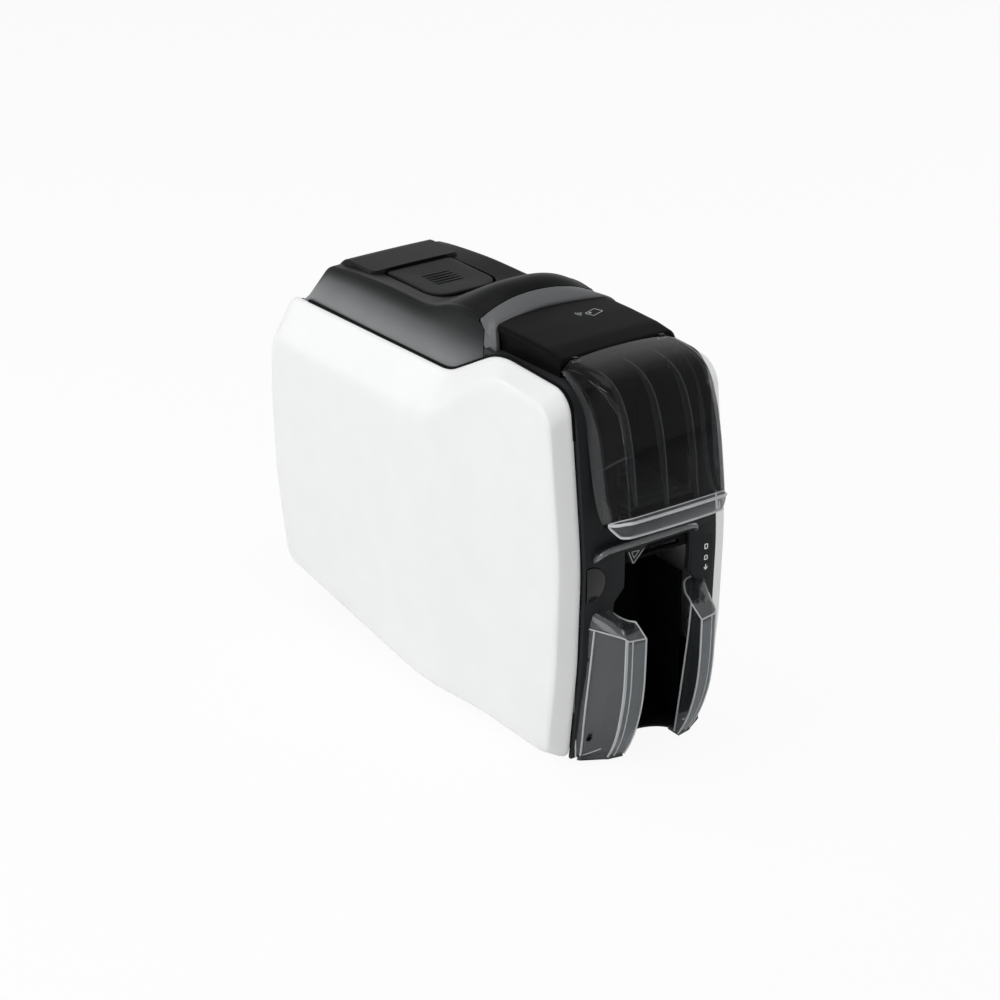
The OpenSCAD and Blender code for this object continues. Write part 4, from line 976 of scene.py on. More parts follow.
@dataclass
class SidePanels:
    """The two white side panels: a bevelled rim round a face that steps inwards to the front."""

    face_rear: float = 79.0
    face_front: float = 73.0
    step_front: float = -76.0
    step_length: float = 64.0
    seat: float = 57.7
    rim: float = 59.5
    wall: float = 2.6
    edge: tuple[Corner, ...] = (
        (194.5, 241.5, 14), (199.3, 172, 200), (196.5, 105, 160), (182, 30.5, 14), (10, 4.6, 200), (-153, 2, 10),
        (-162, 78, 250), (-165, 155, 300), (-151.5, 275.5, 19), (-72, 278.5, 60), (-13, 246.8, 45),
    )
    crease: tuple[Corner, ...] = (
        (191, 215, 16), (194, 168, 150), (190.5, 105, 120), (177, 37, 16), (8, 10, 200), (-147, 8, 12),
        (-156, 78, 200), (-159, 155, 250), (-146, 265, 20), (-82, 270, 50), (-8, 215, 45),
    )

    def face(self, y: np.ndarray) -> np.ndarray:
        """Distance of the face from the centre plane along the depth."""
        return self.face_front + (self.face_rear - self.face_front) * smoothed(
            (y - self.step_front) / self.step_length
        )

    def surface(self) -> np.ndarray:
        """The outside of the right panel, as rings from the rim to the middle of the face."""
        outer = rounded(self.edge, 16, 14)
        inner = rounded(self.crease, 16, 14)
        middle = np.array([0.0, 130.0])
        further = inner + (middle - inner) / np.linalg.norm(middle - inner, axis=1)[:, None] * 7.0
        shoulder = self.rim - 1.6
        start, elbow = stood(outer, shoulder, 0), stood(outer, self.rim, 0)
        bevel_end = stood(inner, self.face(inner[:, 0]), 0)
        land = stood(further, self.face(further[:, 0]), 0)
        leave = elbow + (bevel_end - elbow) * 0.08
        arrive = elbow + (bevel_end - elbow) * 0.84
        rings = [stood(outer, self.seat, 0), start]
        rings += [self._bend(start, elbow, leave, t) for t in np.linspace(0.2, 1.0, 5)]
        rings += [leave + (arrive - leave) * t for t in np.linspace(0.2, 1.0, 5)]
        rings += [self._bend(arrive, bevel_end, land, t) for t in np.linspace(0.1, 1.0, 10)]
        for t in np.linspace(1.0, 0.02, 22)[1:]:
            flat = middle + (further - middle) * t
            rings.append(stood(flat, self.face(flat[:, 0]), 0))
        return np.array(rings)

    @staticmethod
    def _bend(start: np.ndarray, corner: np.ndarray, end: np.ndarray, t: float) -> np.ndarray:
        """One ring of a rounded bend between two others."""
        return (1 - t) ** 2 * start + 2 * t * (1 - t) * corner + t**2 * end

    def build(self) -> None:
        """Makes both panels."""
        rings = self.surface()
        for side, name in ((1, "right_side_panel"), (-1, "left_side_panel")):
            rows = rings * np.array([side, 1, 1])
            panel = Shell().grid(rows, wrap=True).cap(rows[-1]).made("shell_" + name)
            Bench.walled(Bench.turned_to(panel, (side, 0, 0)), self.wall)
            dress(panel, Finish.WHITE, "base", [name], FOLDED)
            # A black bead along each panel's top edge, in the gap under the lid: painted shadow for the shadow gap
            # there.
            line = rounded(self.edge, 16, 14)
            line = line[(line[:, 1] > 238.5) & (line[:, 0] < 172.0)]
            if line[0, 0] < line[-1, 0]:
                line = line[::-1]
            strip = Shell().tube(stood(line + [0.0, 0.5], side * 57.0, 0), 1.25, 10)
            dress(strip.made("rim_strip_" + name[:-11]), Finish.BLACK, "base", (), ROUNDED)


@dataclass
class Lid:
    """The top lid: sloped sides, a basin round the latch plate, a raised block behind and a ridge in front."""

    half: float = 56.3
    crest: float = 49.0
    seam: float = 238.2
    rear: float = 183.4
    front: float = -31.0
    wall: float = 2.4
    plate_front: float = 45.5
    plate_rear: float = 110.5
    plate_half: float = 28.5
    block_half: float = 33.5
    block_front: float = 116.0
    block_top: float = 278.7
    fall_start: float = 155.5
    fall_top: float = 272.6
    side_line: tuple[Point, ...] = (
        (-60, 290.0), (-33, 290.6), (-21, 291.0), (-10, 290.4), (0, 288.6), (9, 286.4), (20.5, 283.0),
        (38, 281.0), (61, 280.6), (85, 280.0), (110, 278.2), (130, 276.2), (145, 274.2), (190, 266.0),
    )
    middle_line: tuple[Point, ...] = (
        (-60, 292.0), (-46, 292.8), (-33, 299.4), (-27, 302.8), (-21, 304.4), (-14, 304.0), (-4, 300.2),
        (8, 293.4), (20, 285.6), (31, 279.2), (40, 275.9), (48, 275.0), (80, 274.8), (112, 274.6),
        (150, 273.8), (190, 268.0),
    )

    @staticmethod
    def _lower(a: np.ndarray, b: np.ndarray, round_off: float) -> np.ndarray:
        """The lower of two heights, with a rounded meeting."""
        gap = np.clip(round_off - np.abs(a - b), 0, None) / round_off
        return np.minimum(a, b) - gap * gap * round_off * 0.25

    def roof(self, x: np.ndarray, y: np.ndarray) -> np.ndarray:
        """Height of the lid's top over the plan."""
        side, middle = read(self.side_line, y, 400), read(self.middle_line, y, 400)
        across = np.clip(np.abs(x) / self.crest, 0, 1)
        share = (1 - across**2.6) * (1 - 0.25 * smoothed((y - 20) / 30) * smoothed((across - 0.5) / 0.5))
        top = side + (middle - side) * share
        block = self.block_top - (y - 112) * 0.012 - (np.abs(x) / 38.0) ** 2 * 0.5
        edge = np.hypot(np.clip(np.abs(x) - self.block_half, 0, None), np.clip(self.block_front - y, 0, None))
        block = block - 4.6 * smoothed((edge - 3.6) / 2.0)
        top = -self._lower(-top, -block, 0.8)
        behind = y - self.fall_start
        rear = self.fall_top - behind * 1.04 - 0.004 * np.clip(behind, 0, None) ** 2
        return self._lower(top, rear, 5.0)

    def sections(self) -> np.ndarray:
        """Rows across the lid, from the rear edge to the ridge."""
        y = np.concatenate([np.linspace(*span) for span in (
            (self.front - 16, 44, 52), (46, 109, 24), (110, 118, 14), (119, 148, 12), (149, 162, 14),
            (164, self.rear, 14),
        )])
        across = np.concatenate([np.linspace(*span) for span in ((0, 31, 18), (31.6, 39.5, 14), (40.5, 45.8, 7))])
        rows = []
        for depth in y:
            top = float(self.roof(np.array(self.crest - 3.0), np.array(depth)))
            full = min(1.0, (top - self.seam) / 22.0)
            end = top - 1.6 * full
            foot = self.seam + 7.8 * full**1.5
            fall, rim = end - foot, self.half - 0.9
            flank = [(self.crest - 3.0, top), (self.crest - 1.2, top - 0.35), (self.crest, end),
                     (self.crest + 1.0, end - fall * 0.16), (self.crest + 2.3, end - fall * 0.36),
                     (self.crest + 4.2, end - fall * 0.66), (rim, foot + fall * 0.12),
                     (self.half - 0.2, foot - 0.4 * full), (rim, foot - 2.6 * full), (self.half - 1.0, self.seam)]
            fine = traced(flank, 34)[1:]
            half_x = np.concatenate([across, fine[:, 0]])
            half_z = np.concatenate([self.roof(across, np.full(len(across), depth)), fine[:, 1]])
            x = np.concatenate([-half_x[::-1], half_x[1:]])
            z = np.concatenate([half_z[::-1], half_z[1:]])
            rows.append(stood(np.column_stack([x, z]), depth, 1))
        return self._drawn_back(np.array(rows))

    def _drawn_back(self, table: np.ndarray) -> np.ndarray:
        """Lets the front end follow the band: further forward at the sides than in the middle.

        Args:
            table: Rows at straight depths.

        Returns:
            The same rows with each column read at its own depth.
        """
        first = table[0, 0, 1]
        heights = [238, 262, 275, 288, 291.5, 351, 366, 383, 400]
        fronts = [-46.5, -45.5, -43.5, -42.0, -37.5, -35.8, -33.8, -32.4, -31.8]
        ahead = [float(np.interp(z if abs(x) > 49.5 else 400 - abs(x), heights, fronts)) for x, _, z in table[0]]
        out = table.copy()
        depth = table[:, 0, 1]
        for column, end in enumerate(ahead):
            own = depth + (end - first) * np.clip((44 - depth) / (44 - first), 0, 1)
            out[:, column, 1] = own
            for axis in (0, 2):
                out[:, column, axis] = np.interp(own, depth, table[:, column, axis])
        return out

    def outline(self, grow: float) -> np.ndarray:
        """The latch plate's outline in plan, grown by a gap."""
        w, a, b = self.plate_half + grow, self.plate_front - grow, self.plate_rear + grow
        return rounded([(-w, a, 15 + grow), (w, a, 15 + grow), (w, b, 4 + grow), (-w, b, 4 + grow)], 16, 6)

    def build(self) -> None:
        """Makes the lid, its band, the latch and their small parts."""
        self._moulding()
        self._band()
        self._latch()

    def _moulding(self) -> None:
        """The lid's shell, with its rear edge and the latch's hole."""
        rows = self.sections()
        low = rows[-1].copy()
        low[:, 2] = self.seam
        lid = Shell().grid(np.concatenate([rows, low[None]])).made("lid_moulding")
        Bench.walled(Bench.turned_to(lid, UP), self.wall, False)
        hole = self.outline(2.0)
        Bench.cut(lid, Shell().prism(hole, 262, 300).made("latch_hole"))
        dress(lid, Finish.LID, "lid", ["top_lid"], 38.0)
        levels = [stood(hole, z) for z in (273.4, 264.6)]
        cup = Shell().grid(np.array(levels), wrap=True).cap(levels[-1]).made("latch_cup")
        dress(Bench.walled(cup, 1.0), Finish.BLACK, "lid")

    def _band(self) -> None:
        """The paler strap over the lid's front, with its two feet."""
        front = self.sections()[0]
        a = traced(front[np.abs(front[:, 2] - 400) < 126.5][::3], 121)
        lower = [(54.8, -64.0, 262.0), (54.6, -62.6, 272.0), (54.2, -62.6, 280.0), (53.0, -60.4, 286.8),
                 (50.0, -56.4, 290.8), (43.0, -52.6, 292.6), (22.0, -48.2, 293.6), (0.0, -46.8, 294.2)]
        lower += [(-x, y, z) for x, y, z in lower[-2::-1]]
        b = traced(lower, 121)
        if a[0, 0] * b[0, 0] < 0:
            b = b[::-1]
        inward = np.array([0.0, -38.0, 262.0]) - (a + b) / 2
        inward[:, 1] = 0.0
        inward /= np.linalg.norm(inward, axis=1)[:, None]
        profile = ((0.0, 3.0), (0.0, 1.1), (0.015, 0.45), (0.06, 0.05), (0.16, -0.1), (0.34, -0.25), (0.5, -0.3),
                   (0.66, -0.25), (0.84, -0.1), (0.95, 0.1), (0.985, 0.5), (1.0, 1.2), (1.0, 3.6))
        shell = Shell().bar(np.array([a + (b - a) * t + inward * drop for t, drop in profile]))
        dress(shell.made("lid_band"), Finish.ARCH, "lid", ["lid_arch"], FOLDED)
        edge = front[np.abs(front[:, 0]) <= 47.0]
        web = Shell().grid(edge + np.array([[[0.0, 0.3, -0.6]], [[0.0, -0.3, -1.4]], [[0.0, -11.0, -7.0]]]))
        backing = Bench.walled(Bench.turned_to(web.made("band_backing"), UP), 1.2)
        dress(backing, Finish.BLACK, "lid", (), FOLDED)

    def _latch(self) -> None:
        """The pressed plate with its grip ridges and stem."""
        centre = np.array([0.0, (self.plate_front + self.plate_rear) / 2])
        base = self.outline(0.0)
        profile = ((0.0, 271.8), (0.0, 276.2), (0.004, 276.55), (0.014, 276.85), (0.034, 277.0),
                   (0.10, 277.05), (0.3, 276.9), (0.5, 276.7), (0.7, 276.5), (0.85, 276.4))
        rings = [stood(centre + (base - centre) * (1 - shrink), z) for shrink, z in profile]
        top = Shell().grid(np.array(rings), wrap=True).cap(rings[-1]).cap(rings[0]).made("latch_plate")
        bar = Shell().prism(oblong(-1.1, 1.1, -12, 12, 1.0, 4), -0.5, 0.42).made("grip_bar")
        Bench.eased(bar, 0.35, 2)
        for vertex in bar.data.vertices:
            vertex.co.xy = (vertex.co.y, vertex.co.x)
        bar.data.flip_normals()
        ridges = Repeat.row("grip_ridges", bar, Finish.LID, 5, (0.0, 69.0, 276.55), (0.0, 4.6, 0.0))
        stem = Shell().rod((0, 84.0), 3.0, 255.3, 272.6, 2).made("latch_stem")
        dress(top, Finish.LID, "latch_plate", ["latch_button"], 36.0)
        dress(ridges, Finish.LID, "latch_plate", (), 36.0)
        dress(stem, Finish.GEAR, "latch_plate", (), 36.0)
        coil = Bench.copied("latch_spring", "latch_spring_coil")
        Bench.smooth(coil)
        coil.data.materials.append(Finish.STEEL.material)
        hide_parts("latch_spring")
        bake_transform(coil)


@dataclass
class HeadCover:
    """The black cover in front of the lid, with the printed card mark."""

    half: float = 49.0
    rear: float = -52.4
    front: float = -128.4
    low: float = 268.0
    corner: float = 4.5

    def top(self, y: np.ndarray) -> np.ndarray:
        """Height of its top at the sides along the depth."""
        return np.interp(y, [self.front, -111.0, -80.0, self.rear], [289.0, 291.3, 291.9, 291.6])

    def build(self) -> None:
        """Makes the cover and its mark."""
        r = self.corner
        across = np.linspace(-(self.half - r), self.half - r, 25)
        turn = np.linspace(0, math.pi / 2, 9)[1:]
        bend = np.linspace(0, math.pi / 2, 7)
        near, far = 3.0 * (1 - np.sin(bend)), 3.0 * (1 - np.cos(bend))
        y = np.concatenate([[self.rear], self.rear - far[1:],
                            np.linspace(self.rear - 6, self.front + 5, 16), self.front + near])
        fall = np.concatenate([[12.0], near[1:], np.zeros(16), far])
        rows = []
        for depth, drop in zip(y, fall):
            crown = 0.7 * (1 - (across / (self.half - r)) ** 2)
            high = float(self.top(np.array(depth))) - drop
            x = np.concatenate([across, self.half - r + r * np.sin(turn), [self.half, self.half]])
            z = np.concatenate([high + crown, high - r * (1 - np.cos(turn)), [high - r - 4, self.low]])
            left_x, left_z = -x[len(across):][::-1], z[len(across):][::-1]
            wide = np.concatenate([left_x, x])
            bow = 7.5 * (1 - (wide / self.half) ** 2) * np.clip((depth - self.rear + 34.0) / 34.0, 0, 1)
            rows.append(np.column_stack([wide, depth + bow, np.concatenate([left_z, z])]))
        cover = Shell().grid(np.array(rows)).made("head_cover_moulding")
        Bench.walled(Bench.turned_to(cover, UP), 2.2)
        dress(cover, Finish.BLACK, "base", ["head_cover"], 38.0)
        self._mark()

    def _mark(self) -> None:
        """A pad-printed tilted card with three arcs beside it."""
        shell = Shell()
        z = float(self.top(np.array(-73.0))) + 0.62
        low, high = z - 0.3, z + 0.12
        spot, tilt = (19.5, -75.5), 0.35

        def turned(points: np.ndarray, centre: Point, angle: float) -> np.ndarray:
            """Turns an outline about its own centre and moves it."""
            c, s = math.cos(angle), math.sin(angle)
            return points @ np.array([[c, s], [-s, c]]) + np.array(centre)

        w, d, line = 6.0, 3.9, 0.6
        outer = oblong(-w, w, -d, d, 1.2, 6, 2)
        inner = outer * np.array([(w - line) / w, (d - line) / d])
        levels = [stood(turned(ring, spot, tilt), h) for ring, h in
                  ((outer, low), (outer, high), (inner, high), (inner, low))]
        shell.grid(np.array(levels), wrap=True, close=True)
        chip = np.array([(-4.2, 0.6), (-1.6, 0.6), (-1.6, 2.2), (-4.2, 2.2)])
        shell.prism(turned(chip, spot, tilt), low, high)
        for radius in (1.8, 3.6, 5.4):
            turn = np.linspace(math.radians(142), math.radians(218), 13)
            way = np.column_stack([np.cos(turn), np.sin(turn)])
            arc = np.vstack([way * radius, (way * (radius - line))[::-1]])[::-1]
            shell.prism(turned(arc, (12.4, -71.6), 0.15), low, high)
        dress(shell.made("card_mark"), Finish.PRINT_ICON, "base")


@dataclass
class Hood:
    """The smoked clear cover of the card input, with its lip, ribs and hinge ears."""

    half: float = 49.0
    wall: float = 2.3
    flat: float = 43.2
    bend: float = 8.0
    crown: float = 1.8
    middle: tuple[Point, ...] = (
        (-127.6, 289.4), (-140, 289.9), (-152, 289.4), (-163, 287.4), (-173, 282.4), (-181, 273.6), (-187, 261.0),
        (-191, 247.0), (-194, 232.0), (-196.4, 215.0), (-198.2, 199.0), (-198.8, 188.0),
    )
    edge: tuple[Point, ...] = (
        (-127.6, 282.6), (-133, 280.2), (-139, 276.4), (-147, 270.4), (-153, 261.6), (-157.4, 249.0),
        (-160.4, 236.0), (-162.8, 223.0), (-166.0, 209.0), (-170.0, 197.4), (-176.4, 188.0), (-184.0, 184.6),
    )

    def surface(self, count: int = 64, inset: float = 0.0) -> np.ndarray:
        """Rows down the hood, each from the left edge round to the right.

        Args:
            count: Rows.
            inset: How far inside the outer face.

        Returns:
            Array of rows, columns and coordinates.
        """
        rows = []
        for a, b in zip(traced(self.middle, count), traced(self.edge, count)):
            way = b - a
            length = float(np.linalg.norm(way))
            way = way / length
            low = float(smoothed((288.5 - a[1]) / 24.0))
            corner, r = self.flat - 3.6 * low, self.bend - 4.4 * low
            line = rounded([(0, 0, 0), (corner, 0.0, r), (self.half, length, 0)], 14, 11, closed=False)
            x, d = line[:, 0], line[:, 1]
            rise = self.crown * np.clip(x / corner, 0, 1) ** 2 * np.clip((self.half - x) / (self.half - corner), 0, 1)
            d = d + rise + inset * (1 - smoothed((d - 1) / 6))
            x = x - inset * smoothed((x - corner + 5) / 6)
            point = a[None] + way[None] * d[:, None]
            half_row = np.column_stack([x, point])
            left = half_row[1:][::-1] * np.array([-1, 1, 1])
            rows.append(np.vstack([left, half_row]))
        return np.array(rows)

    def build(self) -> None:
        """Makes the hood, its lip and its ribs."""
        rows = self.surface()
        hood = Shell().grid(rows[:-5]).made("hood_cover")
        Bench.walled(Bench.turned_to(hood, AHEAD), self.wall)
        dress(hood, Finish.SMOKED, "door", ["hopper_door"], FOLDED)
        self._lip(rows)
        self._ribs()
        self._ears()

    def _lip(self, rows: np.ndarray) -> None:
        """The thick bottom lip with pale beads along it as painted highlights, painted highlight lines on the hood's
        creases and pale strips on its cut side edges.
        """
        start = rows[-6] + np.array([0.0, 0.0, -0.2])
        end = rows[-1] + np.array([0.0, 1.4, -4.6])
        side = np.clip((np.abs(start[:, 0]) - 37.0) / 4.0, 0, 1)
        out = stood(np.column_stack([np.sign(start[:, 0]) * side, -(1 - 0.7 * side)]), 0.0)
        out /= np.linalg.norm(out, axis=1)[:, None]
        span = end - start
        levels = [start - out * 2.2, start]
        levels += [start + out * bulge + span * share for bulge, share in
                   ((0.5, 0.06), (1.1, 0.22), (1.3, 0.4), (1.0, 0.6), (0.3, 0.82))]
        levels += [end - out * 0.6, end - out * 2.4, end - out * 3.4 - span * 0.15, start - out * 3.6 + span * 0.3]
        stack = np.array(levels)[:, 2:-2]
        middle = stack.mean(axis=0)
        for step, share in enumerate((0.30, 0.46, 0.60, 0.73, 0.85, 0.94, 0.99)):
            for column in (step, -1 - step):
                lifted = middle[column] + (0.0, 0.0, 4.5 * (1 - share))
                stack[:, column] = lifted + (stack[:, column] - middle[column]) * share
        dress(Shell().bar(stack).made("hood_lip"), Finish.SIDE, "door", (), FOLDED)
        # Pale beads along the lip's edges and ends: painted highlights.
        highlight_beads = Shell()
        upper, swell, lower = 3, 5, 7
        for line, thick in ((upper, 1.15), (lower, 1.0), (1, 0.4)):
            highlight_beads.tube(stack[line], thick)
        for end_of, near in ((0, 2), (-1, -3)):
            bulge = stack[swell][end_of] + out[near] * 0.4
            highlight_beads.tube(np.vstack([stack[upper][end_of], bulge, stack[lower][end_of]]), 0.7)
        dress(highlight_beads.made("hood_edge_lines"), Finish.LIP, "door", (), ROUNDED)
        # Thin pale lines on the creases are painted highlights; the pale strips on the side edges paint their
        # brightness.
        edges = Shell()
        for crease in (-40.2, 40.2):
            edges.tube(rows[14:-5, nearest(rows[40], crease)], 0.3, 6)
        for columns, inset in (((0, 1, 2, 3, 4), 2.9), ((-1, -2, -3, -4, -5), -2.9)):
            flat = rows[2:-5][:, list(columns)]
            inward = flat + np.array([inset, 0.3, -0.3])
            edges.sleeve(np.concatenate([flat + [0, -0.3, 0.2], inward[:, ::-1]], axis=1))
        dress(edges.made("hood_side_edges"), Finish.SIDE, "door", (), ROUNDED)

    def _ribs(self) -> None:
        """Guide ribs inside the front and one level stiffener at the left."""
        inner = self.surface(inset=self.wall)
        shell = Shell()
        for x, first, last in ((-34.5, 12, -8), (-9.0, 9, -4), (16.5, 9, -4)):
            line = np.array([row[nearest(row, x)] for row in inner])[first:last]
            line[:, 0] = x
            depth = 2.0 + 5.5 * np.sin(np.linspace(0, math.pi, len(line))) ** 0.7
            back = line + stood(np.column_stack([depth, -depth * 0.12]), 0.0, 0)
            line = line + [0, -0.4, 0]
            shell.bar(np.array([line + [-0.5, 0, 0], back + [-0.35, 0, 0], back + [0.35, 0, 0], line + [0.5, 0, 0]]))
        row = inner[41]
        part = row[(row[:, 0] > -47.5) & (row[:, 0] < -33.0)]
        deep, outside = part + np.array([2.4, 3.2, -0.6]), part + [-0.3, -0.4, 0]
        shell.bar(np.array([outside + [0, 0, 0.5], deep + [0, 0, 0.3], deep - [0, 0, 0.3], outside - [0, 0, 0.5]]))
        dress(shell.made("hood_ribs"), Finish.RIB, "door", (), FOLDED)

    def _ears(self) -> None:
        """The hinge knuckles behind its top edge."""
        outline = rounded([(-124.9, 282.4, 2.4), (-124.9, 289.2, 2.6), (-129.6, 289.2, 1.0), (-134.0, 286.0, 1.0),
                           (-134.0, 283.4, 0.8), (-129.6, 281.9, 0.8)], 6)
        for x, name in ((-36.5, "left"), (36.5, "right")):
            ear = Shell().prism(outline, x - 2.2, x + 2.2, 0).made(f"hood_knuckle_{name}")
            dress(Bench.eased(ear, 0.4, 2), Finish.SMOKED, "door")


@dataclass
class Wings:
    """The two clear card guides at the output: side, bowed front, return towards the cards and sloped top."""

    wall: float = 2.0
    foot: float = 5.4
    side_back: Point = (56.3, -157.6)
    inner: float = 24.2
    levels: int = 44
    front_line: tuple[Point, ...] = (
        (5.0, -172.6), (15, -178.6), (29, -184.9), (48, -190.4), (67, -193.3), (83, -194.2), (112, -195.0),
    )
    return_line: tuple[Point, ...] = ((5.0, -168.4), (32, -173.0), (57, -177.0), (82, -180.8), (112, -184.0))

    def plan(self, share: float) -> np.ndarray:
        """The guide's front and side at one share of its height, from the fascia to its inner front edge."""
        count = 34
        rim = np.interp(np.linspace(0, 1, count), [0, 0.5, 0.7, 1.0], [108.0, 105.0, 104.2, 103.6])
        z = self.foot + (rim - self.foot) * share
        low = smoothed(1 - share * 2.2)
        front = float(read(self.front_line, float(z.mean())))
        back_x, back_y = self.side_back
        corner = (38.4 - 2.2 * low, front + 2.4, 3.2)
        outline = rounded(
            [(back_x - 1.6 * low, back_y, 0.1), corner, (self.inner, front, 0.1)], 14, closed=False
        )
        return stood(traced(outline, count), z)

    def build(self) -> None:
        """Makes both guides."""
        rows = np.array([self.plan(t) for t in np.linspace(0, 1, self.levels)])
        rim, front = rows[-1], rows[:, -1]
        back = np.column_stack([np.full(self.levels, self.inner), read(self.return_line, front[:, 2]),
                                front[:, 2] + np.linspace(0, 7.6, self.levels)])
        returned = np.array([front + (back - front) * t for t in np.linspace(0, 1, 8)])
        ridge = traced([(55.9, -157.9, 121.6), (44.0, -161.8, 119.6), (35.0, -162.4, 117.4), (30.6, -168.6, 112.6),
                        (27.6, -177.0, 111.0), tuple(back[-1])], len(rim))
        ridge[-1] = back[-1]
        fade = np.linspace(1, 0, len(rim))[:, None] ** 0.5
        top = []
        for t in np.linspace(0, 1, 12):
            bulge = np.array([0.0, -0.35, 1.0]) * (3.2 * math.sin(math.pi * min(1.0, t * 1.25) * 0.8))
            line = rim + (ridge - rim) * t + bulge * fade * (0 if t in (0.0, 1.0) else 1)
            line[-1] = front[-1] + (back[-1] - front[-1]) * t
            top.append(line)
        back_edge = np.array([row[0] + (row[5] - row[0]) * share
                              for row, share in zip(rows, np.linspace(0.3, 0.8, self.levels))])
        corner, fold, crease = 16, 21, 28
        # Pale beads along the guides' edges, corners and creases: painted highlights.
        lines = ((rows[:, corner], 0.75), (front, 0.7), (returned[-1], 0.7), (rows[:, 0], 0.6), (rim, 0.55),
                 (ridge, 0.75), (returned[:, -1], 0.6), (back_edge, 0.75), (rows[:, fold], 0.4),
                 (rows[:, crease], 0.5))
        toe = np.vstack([rows[0][:, :2], [(self.inner, -160.0), (53.0, -160.0)]])
        for side, name in ((1, "right"), (-1, "left")):
            turn = np.array([side, 1, 1])
            shell = Shell().grid(rows * turn).grid(returned * turn).grid(np.array(top) * turn)
            wing = Bench.turned_to(shell.made(f"clear_wing_{name}"), AHEAD)
            Bench.eased(Bench.walled(wing, self.wall), 0.35, 2, 40.0)
            dress(wing, Finish.CLEAR, "base", [f"{name}_wing"], FOLDED)
            band = Shell().grid((rows[1:-1, corner + 1:] - [0, 0.3, 0]) * turn).made(f"wing_front_{name}")
            Bench.walled(Bench.turned_to(band, AHEAD), 0.25)
            dress(band, Finish.FRONT, "base", (), ROUNDED)
            highlight_beads = Shell()
            for line, thick in lines:
                highlight_beads.tube(line * turn, thick)
            dress(highlight_beads.made(f"wing_edges_{name}"), Finish.LIP, "base", (), ROUNDED)
            self._bosses(side, name)
            foot = toe * np.array([side, 1])
            middle = np.mean(foot, axis=0)
            foot = middle + (foot - middle) * 0.955
            slab = Shell().prism(foot if side < 0 else foot[::-1], 3.0, 6.2).made(f"wing_toe_{name}")
            dress(Bench.eased(slab, 0.9), Finish.TRIM, "base")

    def _bosses(self, side: int, name: str) -> None:
        """Small moulded bosses that hold a guide to the fascia."""
        places = [(side * 50.8, -166.8, z) for z in (84.0, 22.0)]
        boss = Shell().rod((0, 0), 1.6, -2.2, 0.6, 2, 20).made("boss")
        Bench.eased(boss, 0.3, 2)
        piece = Repeat.scattered(f"wing_bosses_{name}", boss, Finish.BLACK, places, [(side * 0.86, -0.5, 0.0)] * 2)
        dress(piece, Finish.BLACK, "base")


@dataclass
class OutputBin:
    """The black hopper that catches printed cards, with its thumb scoop."""

    left: float = -31.0
    right: float = 40.0
    front: float = -170.4
    rear: float = -106.0
    floor: float = 5.0

    def build(self) -> None:
        """Makes the floor, sides and back."""
        turn = np.linspace(math.pi, 0, 33)
        lip, back, foot = self.front + 6, self.rear + 2, 3.0
        scoop = np.column_stack([2.0 + 26.2 * np.cos(turn), self.front + 4.0 + 19.0 * np.sin(turn)])
        outline = np.vstack([[(self.left, self.rear), (self.left, lip)], scoop,
                             [(self.right, lip), (self.right, self.rear)]])
        floor = Shell().prism(outline, foot, self.floor).made("output_floor")
        Bench.eased(floor, 0.6, 2)
        wedge = np.array([(-146.0, 4.6), (-118.0, 13.0), (-107.0, 13.0), (-107.0, 4.6)])
        ramp = Shell().prism(wedge, self.left + 0.3, self.right - 0.3, 0).made("output_ramp")
        Bench.eased(ramp, 0.8, 2)
        walls, left = Shell(), self.left - 1.8
        for x in (left, self.right):
            walls.prism(np.array([(-151.0, foot), (-151.0, 119.0), (back, 119.0), (back, foot)]), x, x + 1.8, 0)
        walls.box((left, self.right + 1.8), (self.rear, self.rear + 1.9), (5.0, 140.0))
        walls.box((-24.2, 34.2), (self.rear, self.rear + 1.9), (139.4, 172.0))
        sides = Bench.eased(walls.made("output_walls"), 0.3, 2)
        slot = Shell().box((-22.0, 32.0), (self.rear - 3, self.rear + 4), (165.5, 170.3))
        Bench.cut(sides, slot.made("exit_slot"))
        dress(Bench.joined("output_hopper", sides, ramp), Finish.PIT, "base", ["output_bin"])
        dress(floor, Finish.FASCIA, "base")


